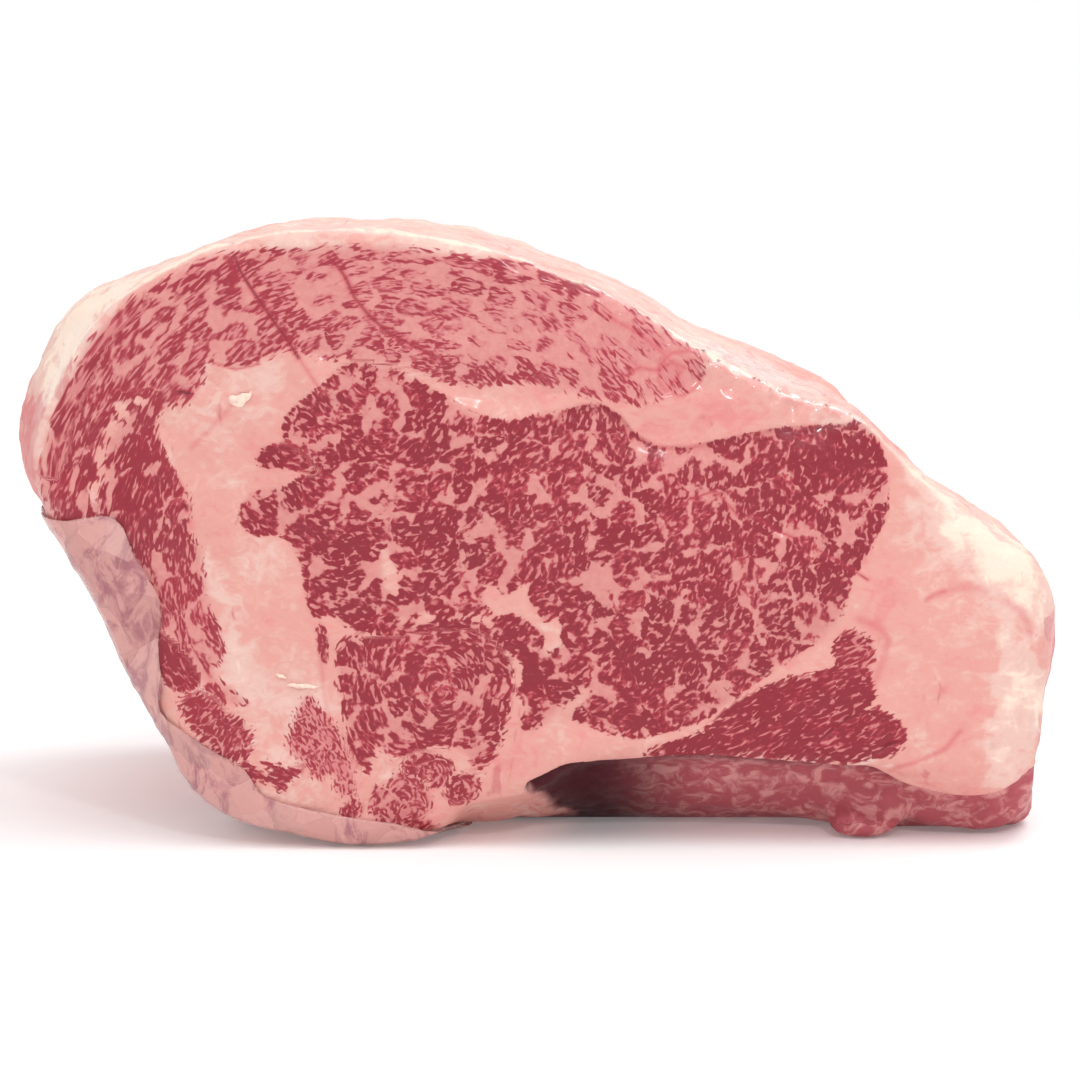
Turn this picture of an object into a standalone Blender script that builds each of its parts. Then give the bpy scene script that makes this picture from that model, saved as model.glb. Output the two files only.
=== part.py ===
"""Boneless raw beef rib roast, heavily marbled, with a clear wrap clinging to its lower left side.

The roast lies on its rib side. Its front cut face looks along -Y, +X is the belly side with the thick
fat, +Z is up, and the origin is on the resting plane under the middle of the whole piece. Metres.
"""

import math

import bmesh
import bpy
from mathutils import Matrix, Vector, noise

MM = 0.001

# Driving dimensions
FACE_WIDTH = 269 * MM
ROAST_DEPTH = 165 * MM
EDGE_RADIUS = 3.5 * MM
WRAPPED_EDGE_RADIUS = 9 * MM
BELLY_EDGE_RADIUS = 9 * MM
SIDE_SWELL = 3.5 * MM
BACK_TAPER = 0.035
LUMP_HEIGHT = 1.6 * MM
FACE_UNEVENNESS = 0.9 * MM
WRAP_GAP = 0.45 * MM
WRAP_THICKNESS = 0.4 * MM
WRAP_LOWEST = 0.4 * MM
WRAP_REACH = 58 * MM

# The outline is drawn 269 mm wide, so this turns its millimetres into metres at the stated width
OUTLINE_SCALE = FACE_WIDTH / 269

# Cells of the roast's grid: across the face, along its depth, up the face
CELLS_ACROSS = 50
CELLS_DEEP = 14
CELLS_UP = 30
ROUNDING_CELLS = 3

# Front cut face, x and z in millimetres, clockwise as seen from the front. Each stretch ends where the
# next one starts, and the four stretches are the four sides of the grid.
OVER_THE_TOP = [
    (-108, 146), (-94, 154), (-80, 159.4), (-64, 162), (-38, 161.4), (-17, 158), (4, 151),
    (25, 141.4), (40, 131.8), (56, 123), (72, 117.5),
]
DOWN_THE_BELLY_SIDE = [
    (82, 113.5), (90, 106), (100, 95.4), (116, 84.6), (126, 77), (132.4, 66.5), (133.4, 53.6),
    (130.6, 38),
]
ALONG_THE_RIB_SIDE = [
    (128.6, 23.5), (119.6, 16.6), (105, 17.2), (84.5, 21.8), (51, 23.4), (20, 24.2), (5.2, 20.8),
    (-1.5, 15.8), (-20, 11.6), (-28, 5.8), (-39, 2.6), (-53, 2.1), (-67.6, 5.2), (-80.6, 8.4),
]
UP_THE_CHINE_SIDE = [
    (-92.3, 16), (-99.5, 28.5), (-106.6, 43), (-114.4, 59.3), (-122.2, 74.4), (-130, 88.7),
    (-133.6, 100.4), (-130.8, 112), (-125.6, 124), (-118, 137),
]
STRETCHES = [OVER_THE_TOP, DOWN_THE_BELLY_SIDE, ALONG_THE_RIB_SIDE, UP_THE_CHINE_SIDE]

# The grid's rings shrink towards this line in the middle of the face
CORE_LEFT = (-52 * MM, 85 * MM)
CORE_RIGHT = (58 * MM, 68 * MM)

# How far the cut face's lower edge is lifted off the resting plane, x and height in millimetres, and
# how deep behind the cut face the rib side has come down to the plane
EDGE_LIFT = [
    (-150, 3.2), (-80, 3.2), (-53, 2.2), (-39, 2.8), (-28, 6), (-20, 11.8), (-1.5, 16), (5, 21),
    (20, 24.4), (51, 23.6), (84, 22), (105, 17.6), (120, 16.8), (150, 17.5),
]
LIFT_FADES = 30 * MM
ARCH_X = 20 * MM
ARCH_DEPTH = 52 * MM
BELLY_CORNER_X = 125 * MM
BELLY_CORNER_DEPTH = 28 * MM

# Lobes of fat and meat that stand out of the sides: middle (x, y, z), reach, height, in millimetres
SIDE_LOBES = [
    ((-128, 46, 129), 44, 10),
    ((-134, 40, 102), 26, 4.5),
    ((134, 34, 50), 22, 4),
    ((130, 40, 12), 26, 5),
    ((60, 90, 126), 40, 4),
]

# Hollows and swells of the cut face: middle (x, z), reach along x, reach along z, depth, in millimetres
FACE_HOLLOWS = [
    ((28, 84), 68, 34, -2.2),
    ((-30, 42), 26, 24, -1.6),
    ((-72, 70), 20, 50, 1.4),
    ((112, 50), 22, 34, -1.8),
    ((108, 92), 20, 14, 5.5),
    ((-8, 120), 34, 5, 1.6),
    ((28, 109), 14, 4, 2.4),
    ((60, 140), 60, 12, 5.0),
    ((-128, 96), 16, 34, 4.5),
    ((-104, 40), 18, 40, 4.0),
    ((8, 24), 30, 7, -1.5),
]

# Seams between muscles, pressed into the cut face: points (x, z), reach, depth, in millimetres
FACE_SEAMS = [
    ([(-100, 110), (-90, 118), (-76, 127), (-55, 130), (-30, 124), (-4, 119), (16, 119)], 4.5, 1.3),
    ([(-99, 112), (-97, 95), (-92, 80), (-88, 62), (-84, 44)], 5, 1.2),
    ([(-66, 120), (-70, 108), (-76, 98), (-64, 82), (-60, 70), (-52, 55)], 4.5, 1.0),
    ([(88, 84), (77, 61), (66, 51), (51, 40), (38, 33), (24, 30), (8, 36)], 5, 1.9),
]

# Cuts of the knife and cracks in the cut face: points (x, z), width at the face, depth, in millimetres
FACE_CUTS = [
    ([(-79, 154), (-73, 146), (-67, 137), (-62, 129), (-58.5, 121)], 1.0, 4.5),
    ([(-54.5, 158), (-50, 149), (-45, 141), (-40, 136), (-30, 130)], 1.0, 4.0),
    ([(1, 109), (4, 115), (14, 117), (24, 113), (33, 107.5), (56, 109), (79, 113), (84, 114)], 1.6, 5.0),
    ([(37, 92), (50, 86), (65, 80), (80, 74)], 0.8, 3.0),
    ([(65, 24.5), (69, 27), (73, 30)], 1.2, 3.0),
    ([(98, 62), (101, 66), (103, 68)], 1.0, 3.0),
]

# A flap of meat that hangs from the rib side and meets the resting plane
FLAP_MIDDLE = Vector((86, 19, 5.2)) * MM
FLAP_HALF_SIZE = Vector((10.6, 12, 5.2)) * MM

# The wrap seen from the front, x and z in millimetres: its torn inner edge, then well past the roast
WRAP_INNER_EDGE = [
    (-134, 87.5), (-124, 86.6), (-112, 87.8), (-107, 78), (-100.6, 66), (-101.2, 54), (-100.4, 43),
    (-101, 36), (-92.4, 29.5), (-79, 21.5), (-73, 14), (-56, 9.6), (-40, 7), (-25, 3.4),
]
WRAP_BEYOND = 160

BEEF_COLOUR = (0.72, 0.30, 0.29, 1)
WRAP_COLOUR = (0.80, 0.66, 0.66, 0.35)


def smooth_step(low, high, value):
    """0 below low, 1 above high, with a smooth rise between them."""
    share = min(1.0, max(0.0, (value - low) / (high - low)))
    return share * share * (3 - 2 * share)


def curve_through(points, steps):
    """Points of a smooth closed curve, steps of them from each given point to the next."""
    found = []
    count = len(points)
    for index in range(count):
        before, start, end, after = (Vector(points[(index + k) % count]) for k in (-1, 0, 1, 2))
        for step in range(steps):
            t = step / steps
            found.append(
                0.5 * (2 * start + (end - before) * t + (2 * before - 5 * start + 4 * end - after) * t**2
                       + (3 * start - before - 3 * end + after) * t**3)
            )
    return found


class Stretch:
    """One side of the outline, read by the share of its length that lies behind a point."""

    def __init__(self, points):
        self.points = points
        self.lengths = [0.0]
        for first, second in zip(points, points[1:]):
            self.lengths.append(self.lengths[-1] + (second - first).length)

    def at(self, share):
        wanted = share * self.lengths[-1]
        index = 0
        while index < len(self.points) - 2 and self.lengths[index + 1] < wanted:
            index += 1
        gap = self.lengths[index + 1] - self.lengths[index]
        return self.points[index].lerp(self.points[index + 1], (wanted - self.lengths[index]) / gap)

    def outward(self, share):
        """Unit vector that points out of the outline, which runs clockwise."""
        step = 0.01
        along = self.at(min(1, share + step)) - self.at(max(0, share - step))
        return Vector((-along.y, along.x)).normalized()


def outline_stretches(steps=12):
    """The four sides of the front outline as smooth curves, in metres."""
    points = [point for stretch in STRETCHES for point in stretch]
    curve = [point * OUTLINE_SCALE for point in curve_through(points, steps)]
    curve.append(curve[0])
    stretches = []
    start = 0
    for stretch in STRETCHES:
        end = start + len(stretch) * steps
        stretches.append(Stretch(curve[start:end + 1]))
        start = end
    return stretches


def ring_place(across, up):
    """Side, share along it and distance from the core, of a grid point given in cells."""
    ring = min(across, CELLS_ACROSS - across, up, CELLS_UP - up)
    reach = 1 - ring / (CELLS_UP / 2)
    width = CELLS_ACROSS - 2 * ring
    height = CELLS_UP - 2 * ring
    if up == CELLS_UP - ring:
        return 0, (across - ring) / width, reach
    if across == CELLS_ACROSS - ring:
        return 1, 1 - (up - ring) / height, reach
    if up == ring:
        return 2, 1 - (across - ring) / width, reach
    return 3, (up - ring) / height, reach


def core_point(side, share):
    left, right = Vector(CORE_LEFT), Vector(CORE_RIGHT)
    if side == 0:
        return left.lerp(right, share)
    if side == 2:
        return right.lerp(left, share)
    return right if side == 1 else left


def edge_radius(point):
    """The cut edge is crisp, but low on the left the wrap, and on the right the soft fat, round it."""
    wrapped = smooth_step(-60 * MM, -100 * MM, point.x) * smooth_step(105 * MM, 80 * MM, point.y)
    fatty = smooth_step(70 * MM, 120 * MM, point.x)
    rounder = (WRAPPED_EDGE_RADIUS - EDGE_RADIUS) * wrapped + (BELLY_EDGE_RADIUS - EDGE_RADIUS) * fatty
    return EDGE_RADIUS + rounder


def deep_station(step):
    """Depth as a share of the roast between its two rounded edges, closer together near the front."""
    share = (step - ROUNDING_CELLS) / (CELLS_DEEP - 2 * ROUNDING_CELLS)
    return 0.45 * share + 0.55 * share**1.9


def edge_lift(x):
    """Height of the cut face's lower edge above the resting plane, from the table."""
    for (x1, z1), (x2, z2) in zip(EDGE_LIFT, EDGE_LIFT[1:]):
        if x <= x2 * MM:
            share = max(0.0, (x - x1 * MM) / ((x2 - x1) * MM))
            return (z1 + (z2 - z1) * share) * MM
    return EDGE_LIFT[-1][1] * MM


def settled(point, depth):
    """The rib side lifts off the resting plane at the cut face and comes down behind it."""
    across = smooth_step(ARCH_X, BELLY_CORNER_X, point.x)
    landing = ARCH_DEPTH + (BELLY_CORNER_DEPTH - ARCH_DEPTH) * across
    lift = edge_lift(point.x)
    low = smooth_step(lift + LIFT_FADES, lift + 3 * MM, point.z)
    return Vector((point.x, point.y, point.z - low * smooth_step(0, landing, depth) * lift))


def side_lobes(point):
    """How far the side stands out at a point, from its lobes and a little unevenness."""
    out = LUMP_HEIGHT * noise.noise(point * 42) + 0.5 * LUMP_HEIGHT * noise.noise(point * 95)
    for middle, reach, height in SIDE_LOBES:
        away = (point - Vector(middle) * MM).length / (reach * MM)
        out += height * MM * math.exp(-2.5 * away * away)
    return out


def distance_to_line(point, line):
    """Distance of a point (x, z) from a line of straight pieces, all in metres."""
    nearest = 1.0
    for start, end in zip(line, line[1:]):
        piece = end - start
        share = min(1, max(0, (point - start).dot(piece) / piece.length_squared))
        nearest = min(nearest, (point - start - piece * share).length)
    return nearest


def in_metres(points):
    return [Vector(point) * MM for point in points]


def face_depth(point):
    """How far the cut face lies behind its plane at a point (x, z)."""
    depth = FACE_UNEVENNESS * noise.noise(Vector((point.x, 0.3, point.y)) * 38)
    for middle, reach_x, reach_z, hollow in FACE_HOLLOWS:
        from_x = (point.x - middle[0] * MM) / (reach_x * MM)
        from_z = (point.y - middle[1] * MM) / (reach_z * MM)
        depth += hollow * MM * math.exp(-1.4 * (from_x**2 + from_z**2))
    for line, reach, seam_depth in FACE_SEAMS:
        away = distance_to_line(point, in_metres(line)) / (reach * MM)
        depth += seam_depth * MM * math.exp(-2 * away * away)
    return depth


def body_point(outline, outward, radius, step):
    """A point of the roast's side, where outline is the front outline at that place."""
    quarter = math.pi / 2
    if step <= ROUNDING_CELLS:
        angle = quarter * step / ROUNDING_CELLS
        inset = radius * (1 - math.sin(angle))
        depth = radius * (1 - math.cos(angle))
    elif step >= CELLS_DEEP - ROUNDING_CELLS:
        angle = quarter * (CELLS_DEEP - step) / ROUNDING_CELLS
        inset = EDGE_RADIUS * (1 - math.sin(angle))
        depth = ROAST_DEPTH - EDGE_RADIUS * (1 - math.cos(angle))
    else:
        inset = 0
        depth = radius + (ROAST_DEPTH - radius - EDGE_RADIUS) * deep_station(step)
    along = depth / ROAST_DEPTH
    swell = SIDE_SWELL * math.sin(math.pi * along) ** 0.8
    flat = outline + outward * (swell - inset)
    flat = flat * (1 - BACK_TAPER * along**2)
    point = Vector((flat.x, depth, flat.y))
    out = side_lobes(point) * smooth_step(0, 14 * MM, depth) * smooth_step(0, 9 * MM, ROAST_DEPTH - depth)
    point += Vector((outward.x, 0, outward.y)) * out
    return settled(point, depth)


def roast_point(stretches, across, deep, up):
    """Where a point of the grid box lies on the roast. The three numbers count cells."""
    side, share, reach = ring_place(across, up)
    stretch = stretches[side]
    outline = stretch.at(share)
    edge = body_point(outline, stretch.outward(share), edge_radius(outline), deep)
    if deep in (0, CELLS_DEEP):
        core = core_point(side, share)
        flat = core + (Vector((edge.x, edge.z)) - core) * reach
        fade = smooth_step(1.02, 0.6, reach)
        hollow = face_depth(flat)
        rear = deep > 0
        offset = hollow * (0.35 + 0.65 * fade)
        edge = Vector((flat.x, edge.y - 0.6 * offset if rear else edge.y + offset, flat.y))
    elif deep <= ROUNDING_CELLS:
        hollow = face_depth(Vector((edge.x, edge.z)))
        edge.y += 0.35 * hollow * (1 - deep / (ROUNDING_CELLS + 1))
    edge.z = max(0.0, edge.z)
    return edge


def grid_box(mesh_name):
    """A cube from -1 to 1 whose faces are cut into the roast's cells."""
    mesh = bmesh.new()
    bmesh.ops.create_cube(mesh, size=2)
    for axis, cells in enumerate((CELLS_ACROSS, CELLS_DEEP, CELLS_UP)):
        along = [e for e in mesh.edges if abs((e.verts[0].co - e.verts[1].co).normalized()[axis]) > 0.9]
        bmesh.ops.subdivide_edges(mesh, edges=along, cuts=cells - 1, use_grid_fill=True)
    data = bpy.data.meshes.new(mesh_name)
    mesh.to_mesh(data)
    mesh.free()
    return data


def painted(name, colour, roughness):
    """A plain material of one colour."""
    material = bpy.data.materials.new(name)
    material.use_nodes = True
    shader = material.node_tree.nodes["Principled BSDF"]
    shader.inputs["Base Color"].default_value = colour
    shader.inputs["Roughness"].default_value = roughness
    shader.inputs["Metallic"].default_value = 0
    shader.inputs["Alpha"].default_value = colour[3]
    return material


def linked(name, data, material, collection):
    data.materials.append(material)
    obj = bpy.data.objects.new(name, data)
    collection.objects.link(obj)
    return obj


def guide(name, mesh, cutters):
    """A shape that is joined to the roast or cut from it, and is no piece of its own."""
    data = bpy.data.meshes.new(name)
    mesh.to_mesh(data)
    mesh.free()
    shape = bpy.data.objects.new(name, data)
    shape.hide_render = True
    shape.display_type = "WIRE"
    cutters.objects.link(shape)
    return shape


def make_flap(cutters):
    """The hanging flap: a ball pressed flat where it meets the resting plane, drawn out to one side."""
    mesh = bmesh.new()
    bmesh.ops.create_uvsphere(mesh, u_segments=18, v_segments=10, radius=1)
    for vertex in mesh.verts:
        uneven = 1 + 0.16 * noise.noise(vertex.co * 1.9 + Vector((4, 0, 1)))
        place = vertex.co * uneven
        place.x -= 0.18 * place.z
        place.z += 0.35 * place.x
        vertex.co = FLAP_MIDDLE + Vector([a * b for a, b in zip(place, FLAP_HALF_SIZE)])
        vertex.co.z = max(0.0, vertex.co.z)
    return guide("flap", mesh, cutters)


def add_wedge(mesh, line, width, depth):
    """A blade along a line of the cut face, widest and deepest in its middle, for cutting."""
    ahead = 7 * MM
    count = len(line) - 1
    sections = []
    for index, place in enumerate(line):
        step = line[min(index + 1, count)] - line[max(index - 1, 0)]
        across = Vector((-step.y, step.x)).normalized()
        surface = 0.8 * face_depth(place)
        reached = depth * math.sin(math.pi * index / count) - 0.4 * MM
        half = width / 2 * (ahead + surface + depth) / depth
        left, right = place + across * half, place - across * half
        corners = [(left.x, -ahead, left.y), (right.x, -ahead, right.y), (place.x, surface + reached, place.y)]
        sections.append([mesh.verts.new(corner) for corner in corners])
    for first, second in zip(sections, sections[1:]):
        for index in range(3):
            after = (index + 1) % 3
            mesh.faces.new((first[index], first[after], second[after], second[index]))
    mesh.faces.new(sections[0])
    mesh.faces.new(sections[-1])


def make_cuts(cutters):
    mesh = bmesh.new()
    for line, width, depth in FACE_CUTS:
        add_wedge(mesh, in_metres(line), width * MM, depth * MM)
    bmesh.ops.recalc_face_normals(mesh, faces=mesh.faces)
    return guide("cuts", mesh, cutters)


def make_roast(collection, material):
    """The whole roast as a grid box drawn out to the cut face's outline."""
    stretches = outline_stretches()
    data = grid_box("rib_roast")
    for vertex in data.vertices:
        across = round((vertex.co.x + 1) / 2 * CELLS_ACROSS)
        deep = round((vertex.co.y + 1) / 2 * CELLS_DEEP)
        up = round((vertex.co.z + 1) / 2 * CELLS_UP)
        vertex.co = roast_point(stretches, across, deep, up)
    data.update()
    return linked("rib_roast", data, material, collection)


def combine(piece, shape, operation):
    step = piece.modifiers.new(shape.name, "BOOLEAN")
    step.operation = operation
    step.object = shape


def near_wrap(face):
    """True for the roast's faces from which the wrap is cut, with some to spare."""
    middle = face.calc_center_median()
    return middle.x < -10 * MM and middle.z < 105 * MM and middle.y < WRAP_REACH + 25 * MM


def make_wrap_outline(cutters):
    """A block through the roast from front to back, with the wrap's outline seen from the front."""
    low = WRAP_LOWEST / MM
    torn = curve_through(WRAP_INNER_EDGE + [(-12, 0), (-148, 89)], 3)[:3 * len(WRAP_INNER_EDGE) - 2]
    ends = [(-20, low), (-WRAP_BEYOND, low), (-WRAP_BEYOND, WRAP_INNER_EDGE[0][1])]
    edge = torn + [Vector(end) for end in ends]
    mesh = bmesh.new()
    front, back = [], []
    for point in edge:
        reach = WRAP_REACH + 7 * MM * noise.noise(Vector((0, point.y * 0.045, 2)))
        front.append(mesh.verts.new((point.x * MM, -20 * MM, point.y * MM)))
        back.append(mesh.verts.new((point.x * MM, reach, point.y * MM)))
    mesh.faces.new(front)
    mesh.faces.new(back)
    for index in range(len(edge)):
        mesh.faces.new((front[index - 1], front[index], back[index], back[index - 1]))
    bmesh.ops.recalc_face_normals(mesh, faces=mesh.faces)
    return guide("wrap_outline", mesh, cutters)


def make_wrap(collection, roast, outline, material):
    """Clear wrap over the lower left side: the roast's own faces there, lifted clear and thickened."""
    mesh = bmesh.new()
    mesh.from_mesh(roast.data)
    mesh.normal_update()
    lifts = [vertex.normal * WRAP_GAP * min(2, vertex.calc_shell_factor()) for vertex in mesh.verts]
    for vertex, lift in zip(mesh.verts, lifts):
        vertex.co += lift
    bare = [face for face in mesh.faces if not near_wrap(face)]
    bmesh.ops.delete(mesh, geom=bare, context="FACES")
    data = bpy.data.meshes.new("wrap_film")
    mesh.to_mesh(data)
    mesh.free()
    wrap = linked("wrap_film", data, material, collection)
    thick = wrap.modifiers.new("thickness", "SOLIDIFY")
    thick.thickness = WRAP_THICKNESS
    thick.offset = 1
    combine(wrap, outline, "INTERSECT")
    return wrap


def set_on_origin(roast, pieces):
    """Moves every piece alike, so the roast's middle is over the origin."""
    corners = [vertex.co for vertex in roast.data.vertices]
    shift = Vector((0, 0, 0))
    for axis in (0, 1):
        places = [corner[axis] for corner in corners]
        shift[axis] = -(min(places) + max(places)) / 2
    for piece in pieces:
        piece.data.transform(Matrix.Translation(shift))


def clear_scene():
    for obj in list(bpy.data.objects):
        bpy.data.objects.remove(obj, do_unlink=True)


def main():
    clear_scene()
    parts = bpy.data.collections.new("raw_beef_rib_roast")
    cutters = bpy.data.collections.new("shaping_shapes")
    for collection in (parts, cutters):
        bpy.context.scene.collection.children.link(collection)
    roast = make_roast(parts, painted("marbled_beef", BEEF_COLOUR, 0.4))
    roast.data.shade_smooth()
    outline = make_wrap_outline(cutters)
    wrap = make_wrap(parts, roast, outline, painted("clear_wrap", WRAP_COLOUR, 0.2))
    flap, cuts = make_flap(cutters), make_cuts(cutters)
    combine(roast, flap, "UNION")
    combine(roast, cuts, "DIFFERENCE")
    set_on_origin(roast, [roast, wrap, outline, flap, cuts])


main()
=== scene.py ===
"""Looks of a raw beef rib roast: heavily marbled cut face, fat cap, rib side and clinging clear wrap.

The frame's roast and wrap are copied, evened out and given their relief. What lies where on the cut face
is worked out from the outlines of the muscles, kept at each vertex, and painted by the materials.
Outlines are x and z on the cut face in millimetres, measured from a point under the eye muscle.
"""

import math

import bpy
import numpy as np
from bpy.props import FloatProperty, FloatVectorProperty, PointerProperty
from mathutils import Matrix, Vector, noise


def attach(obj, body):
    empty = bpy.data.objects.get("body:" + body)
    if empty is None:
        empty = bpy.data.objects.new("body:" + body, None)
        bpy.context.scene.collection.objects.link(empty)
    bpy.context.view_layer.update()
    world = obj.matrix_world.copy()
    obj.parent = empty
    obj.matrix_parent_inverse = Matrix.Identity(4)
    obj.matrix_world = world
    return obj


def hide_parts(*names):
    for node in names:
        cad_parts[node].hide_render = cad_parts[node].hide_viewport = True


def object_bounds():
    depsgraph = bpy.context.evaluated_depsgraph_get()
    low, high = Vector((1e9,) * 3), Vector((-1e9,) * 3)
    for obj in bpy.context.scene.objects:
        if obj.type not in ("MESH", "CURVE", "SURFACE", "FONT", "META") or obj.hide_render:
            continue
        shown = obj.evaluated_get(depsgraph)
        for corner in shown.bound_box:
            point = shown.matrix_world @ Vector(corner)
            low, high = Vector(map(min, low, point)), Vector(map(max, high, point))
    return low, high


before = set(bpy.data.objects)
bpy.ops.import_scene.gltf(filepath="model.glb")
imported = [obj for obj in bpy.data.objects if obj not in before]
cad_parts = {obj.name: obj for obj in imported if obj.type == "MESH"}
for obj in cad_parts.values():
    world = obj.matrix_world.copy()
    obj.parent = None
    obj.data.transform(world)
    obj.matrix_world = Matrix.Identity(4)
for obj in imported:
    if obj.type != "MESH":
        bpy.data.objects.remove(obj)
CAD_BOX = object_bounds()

bl_info = {
    "name": "Raw Beef Rib Roast",
    "version": (1, 0, 0),
    "blender": (4, 5, 0),
    "location": "3D View > Sidebar > Rib Roast",
    "description": "Builds a marbled raw beef rib roast with its clear wrap and a plain stage",
    "category": "Object",
}

MM = 0.001
ROW_FROM_FACE_X = 3.083
FACE_LIES_AT_Y = -81.986
ROAST_DEPTH = 165.0
# How far from a cut the solid's own groove is evened out, and how deep such a groove is at most, in mm
CUT_REACH = 4.0
DEEPEST_CUT = 3.0
# How far the meat of the rib side lies behind the front edge, and how far relief stands out at most, in mm
RIB_SIDE_SINKS = 3.0
MOST_RELIEF = 0.6

# The camera: what it looks at in mm, its distance and the width it sees there in metres, its angle
CAMERA_AIM = (1.65, FACE_LIES_AT_Y, 81.9)
CAMERA_DISTANCE = 0.8
SEEN_WIDTH = 0.2808
CAMERA_ELEVATION = math.radians(6)

EYE = [
    (-57.3, 122.2), (-52.1, 126.9), (-44.3, 127.7), (-37.8, 125.6), (-30, 121.4), (-25.6, 118.6),
    (-19.6, 115.4), (-11.8, 113.1), (-6.6, 113.1), (-2, 114.7), (2.7, 114.9), (10.3, 117), (14.7, 116.7),
    (19.4, 113.9), (22.8, 109.7), (28.5, 106.3), (37.6, 106.3), (48, 108.4), (57.9, 110.5), (66.2, 111.3),
    (76.6, 111.8), (81.2, 112.8), (84.9, 109.5), (87.8, 103.5), (88.8, 94.9), (88, 87.1), (84.9, 81.4),
    (82.5, 76.7), (79.7, 71), (77.9, 65), (76.6, 60.6), (72.4, 55.9), (66.2, 52), (59.7, 47.6),
    (51.9, 41.9), (45.4, 36.9), (37.6, 33), (29.8, 30.9), (23.3, 29.9), (14.2, 32), (6.9, 35.4),
    (11.6, 40.3), (11.1, 42.9), (6.4, 39.8), (0.7, 34.6), (-5.6, 32), (-7.2, 40.3), (-6.1, 48.6),
    (-9.8, 52), (-17, 55.9), (-27.4, 55.9), (-37.8, 55.9), (-52.1, 59.5), (-56, 62.7), (-60.5, 61.9),
    (-62.5, 68.9), (-64.1, 76.7), (-68, 82.7), (-76.3, 83.5), (-79.2, 88.1), (-77.9, 92.6), (-73.7, 94.6),
    (-68, 95.2), (-63.8, 98), (-59.1, 99.1), (-60.7, 102.2), (-67.2, 107.4), (-67.7, 112.8),
    (-63.3, 117.8),
]
SMALL_LOBE = [
    (-75, 102.2), (-73.7, 105), (-69, 106.6), (-63.8, 105.3), (-59.7, 101.7), (-59.1, 99.1),
    (-63.8, 100.1), (-68.2, 101.1), (-72.7, 100.6),
]
SWIRL = [
    (-54, 52), (-52.1, 55.9), (-45.6, 55.9), (-37.3, 58), (-30, 60.1), (-19.6, 60.6), (-13.9, 57.5),
    (-10.3, 50.7), (-9, 42.9), (-10.5, 37.2), (-12.1, 30.4), (-15, 24.2), (-17.6, 22.1), (-21.2, 25.7),
    (-27.4, 28.9), (-32.6, 27.3), (-39.1, 25.5), (-44.6, 27.8), (-46.7, 21.6), (-50.8, 27.8),
    (-52.4, 36.4), (-53.7, 42.9),
]
ISLAND_TOP = [
    (-37.3, 23.1), (-33.9, 25.5), (-27.4, 24.7), (-24.3, 21.6), (-25.9, 17.9), (-29.5, 16.9),
    (-31.6, 19.5), (-35.8, 20.5),
]
ISLAND_LEFT = [
    (-41, 16.4), (-39.4, 20), (-35.2, 20), (-31.6, 16.9), (-30, 12.7), (-31.6, 7.5), (-27.9, 4.9),
    (-37.3, 6.2), (-44.6, 8.3), (-46.1, 12.7), (-44.1, 16.9),
]
ISLAND_RIGHT = [
    (-26.1, 14.3), (-24.3, 18.5), (-20.7, 20.5), (-17.6, 17.9), (-18.6, 14.3), (-22.2, 12.2),
]
ISLAND_SMALL = [(-53.4, 9.4), (-52.1, 12.2), (-49.8, 13.3), (-48.5, 10.7), (-50.3, 8.8)]
STRIP = [(-59.4, 59), (-57.6, 58), (-56.8, 53.3), (-57.3, 49.7), (-58.9, 52)]
PATCH = [
    (-63.8, 39), (-61.5, 40.6), (-58.1, 36.1), (-54.5, 31.2), (-51.9, 24.7), (-50.1, 17.9), (-50.8, 13.8),
    (-54.2, 15.3), (-55.8, 20.5), (-59.7, 19), (-64.1, 23.7), (-67.2, 27.3), (-66.4, 31.7),
]
RING = [
    (-111.2, 86.1), (-117.9, 88.4), (-124.2, 85.8), (-130.1, 91), (-131.4, 97.5), (-126.8, 104),
    (-126.2, 110.5), (-123.1, 118.3), (-119, 126.1), (-115, 133.9), (-108.5, 140.9), (-102.8, 146.1),
    (-94.5, 151.6), (-84.1, 155.3), (-71.6, 157), (-58.6, 157.3), (-43, 158), (-30, 156.6), (-17, 154.6),
    (-1.4, 153), (9, 151.3), (17.3, 146.4), (27.2, 138.6), (37.6, 132.6), (41.7, 128.2), (38.6, 121.4),
    (31.9, 119.6), (25.9, 117.5), (14.2, 118.6), (3.8, 121.2), (-4, 123.5), (-14.4, 122.5), (-20.9, 121.9),
    (-27.4, 123.8), (-37.8, 127.7), (-56, 129), (-66.4, 131.3), (-75.5, 127.9), (-82, 127.7),
    (-88.5, 128.2), (-88.5, 125.1), (-91.9, 118.3), (-98.7, 116.7), (-101.5, 113.1), (-100.2, 106.6),
    (-97.1, 99.6), (-93.5, 93.9), (-92.4, 89.2), (-94, 84), (-90.9, 80.3), (-88.8, 71.5), (-88.3, 65),
    (-85.7, 58.5), (-84.4, 52), (-86.7, 46.5), (-81.5, 41.3), (-77.9, 38.7), (-84.1, 38.7), (-88.8, 42.9),
    (-93.5, 50.2), (-99.2, 57.5), (-103.9, 66.3), (-106.5, 74.1),
]
LOWER_LOBE_DARK = [
    (-102, 59.3), (-100, 55.9), (-96.1, 54.6), (-93.2, 50.7), (-90.9, 46), (-92.4, 42.9), (-96.6, 42.4),
    (-100.2, 45.2), (-101.8, 50.7),
]
LOWER_LOBE = [
    (-95.5, 38.7), (-91.1, 41.1), (-86.7, 39.3), (-84.4, 35.6), (-80, 33.5), (-77.9, 28.6), (-79.7, 24.2),
    (-84.1, 25.5), (-89, 28.9), (-92.7, 34.1),
]
LEFT_STREAKS = [
    (-100, 143), (-110, 133), (-116.5, 120), (-121, 106), (-124, 94), (-128, 90), (-131, 96),
    (-129.5, 108), (-124, 122), (-117, 134), (-106, 145),
]
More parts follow.
